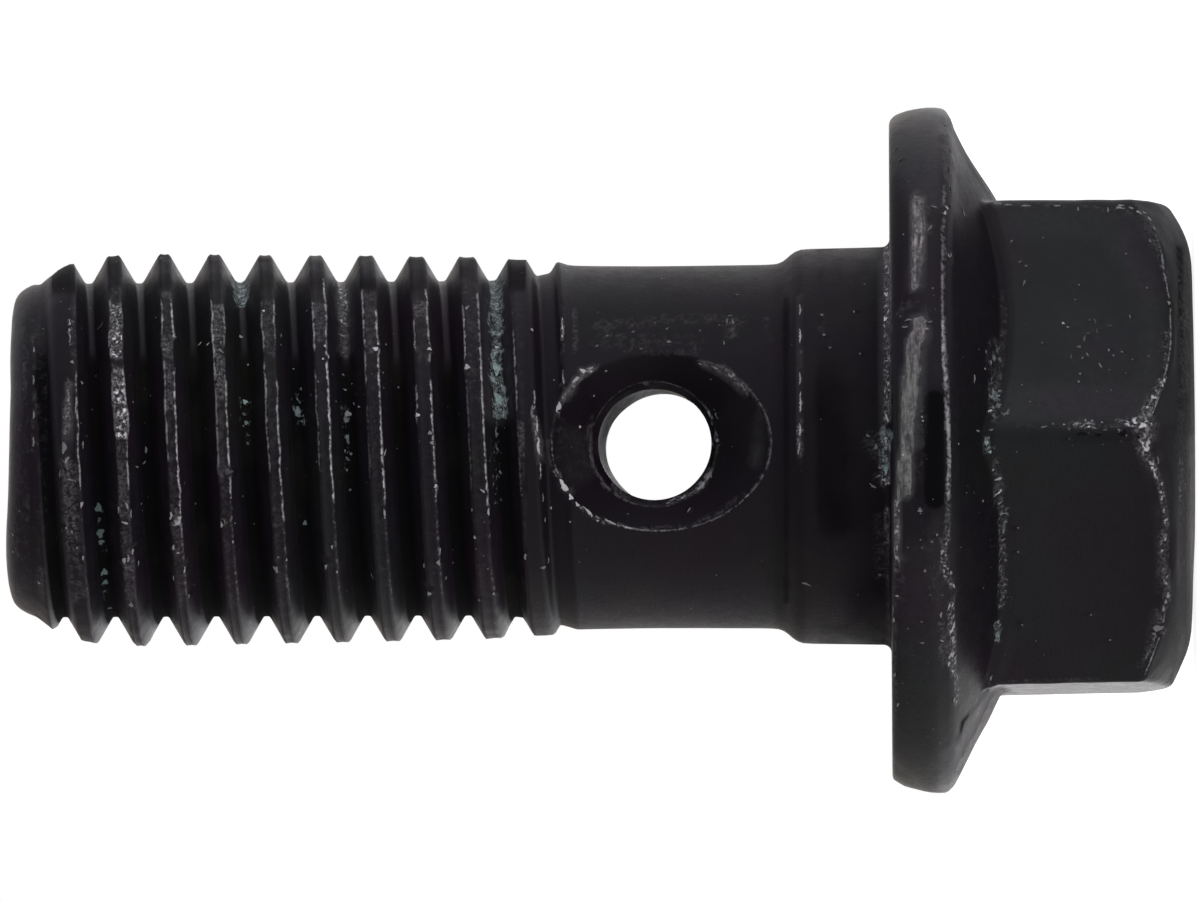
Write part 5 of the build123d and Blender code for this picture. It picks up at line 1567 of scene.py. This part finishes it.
fmat.node_tree.links.new(painted_shade_pool.outputs["Result"], glow.inputs["To Min"])
fmat.node_tree.links.new(seen_by.outputs["Is Camera Ray"], glow.inputs["Value"])
fmat.node_tree.links.new(glow.outputs["Result"], fb.inputs["Emission Strength"])
floor.data.materials.append(fmat)

world = bpy.data.worlds.new("tent")
bpy.context.scene.world = world
world.use_nodes = True
wt = world.node_tree
wt.nodes.clear()


def wnode(kind, **kw):
    n = wt.nodes.new(kind)
    for k, v in kw.items():
        setattr(n, k, v)
    return n


def wmath(op, a, b=None, clamp=False):
    n = wnode("ShaderNodeMath", operation=op, use_clamp=clamp)
    for i, v in enumerate((a, b)):
        if v is None:
            continue
        if isinstance(v, (int, float)):
            n.inputs[i].default_value = v
        else:
            wt.links.new(v, n.inputs[i])
    return n.outputs[0]


def lobe(direction, power, strength):
    n = wnode("ShaderNodeVectorMath", operation="DOT_PRODUCT")
    wt.links.new(tc.outputs["Generated"], n.inputs[0])
    n.inputs[1].default_value = Vector(direction).normalized()
    return wmath("MULTIPLY", wmath("POWER", wmath("MAXIMUM", n.outputs["Value"], 0.0), power), strength)


tc = wnode("ShaderNodeTexCoord")
# a soft tent: brighter overhead, a broad softbox above the camera, a backdrop behind the part
level = wmath("ADD", 0.455, lobe((1, 0, 0), 1.0, 0.18))
level = wmath("SUBTRACT", level, lobe((-1, 0, 0), 1.0, 0.07))
level = wmath("ADD", level, lobe((math.sin(rad(66)), -math.cos(rad(66)), 0), 12.0, 0.84))
level = wmath("ADD", level, lobe((0, 1, 0), 24.0, 0.40))
level = wmath("ADD", level, lobe((math.sin(rad(26)), math.cos(rad(26)), 0), 24.0, 0.34))
level = wmath("SUBTRACT", level, lobe((-math.sin(rad(48)), math.cos(rad(48)), 0), 8.0, 0.03))
level = wmath("ADD", level, lobe((0, 1, 0), 260.0, 3.2))
# the camera and its operator are a darker gap in the tent
level = wmath("MULTIPLY", level, wmath("SUBTRACT", 1.0, lobe((-math.sin(rad(12)), -math.cos(rad(12)), 0), 6.0, 0.65)))
bg_light = wnode("ShaderNodeBackground")
wt.links.new(level, bg_light.inputs["Strength"])
# cooler from overhead, a little warmer from below and from the backdrop
warm = wmath("ADD", lobe((0, 1, 0), 3.0, 1.0), lobe((-1, 0, 0), 1.0, 0.9), clamp=True)
tint = wnode("ShaderNodeMix", data_type="RGBA")
wt.links.new(warm, tint.inputs[0])
tint.inputs[6].default_value = (0.985, 0.98, 1.08, 1)
tint.inputs[7].default_value = (1.060, 1.0, 0.930, 1)
wt.links.new(tint.outputs[2], bg_light.inputs["Color"])
bg_seen = wnode("ShaderNodeBackground")
bg_seen.inputs["Color"].default_value = (1, 1, 1, 1)
bg_seen.inputs["Strength"].default_value = 1.0
lp = wnode("ShaderNodeLightPath")
mixw = wnode("ShaderNodeMixShader")
wt.links.new(lp.outputs["Is Camera Ray"], mixw.inputs[0])
wt.links.new(bg_light.outputs[0], mixw.inputs[1])
wt.links.new(bg_seen.outputs[0], mixw.inputs[2])
wout = wnode("ShaderNodeOutputWorld")
wt.links.new(mixw.outputs[0], wout.inputs["Surface"])

scene = bpy.context.scene
scene.view_settings.view_transform = "Standard"
scene.view_settings.look = "None"

cam_data = bpy.data.cameras.new("camera")
cam = bpy.data.objects.new("camera", cam_data)
scene.collection.objects.link(cam)
cam.matrix_world = Matrix.Translation(C * 0.001) @ M.transposed().to_4x4()
cam_data.type = "PERSP"
cam_data.sensor_fit = "HORIZONTAL"
cam_data.sensor_width = 36.0
cam_data.lens = 36.0 * DIST / (1200.0 / PXMM)
cam_data.clip_start = 0.01
cam_data.clip_end = 100.0
scene.camera = cam
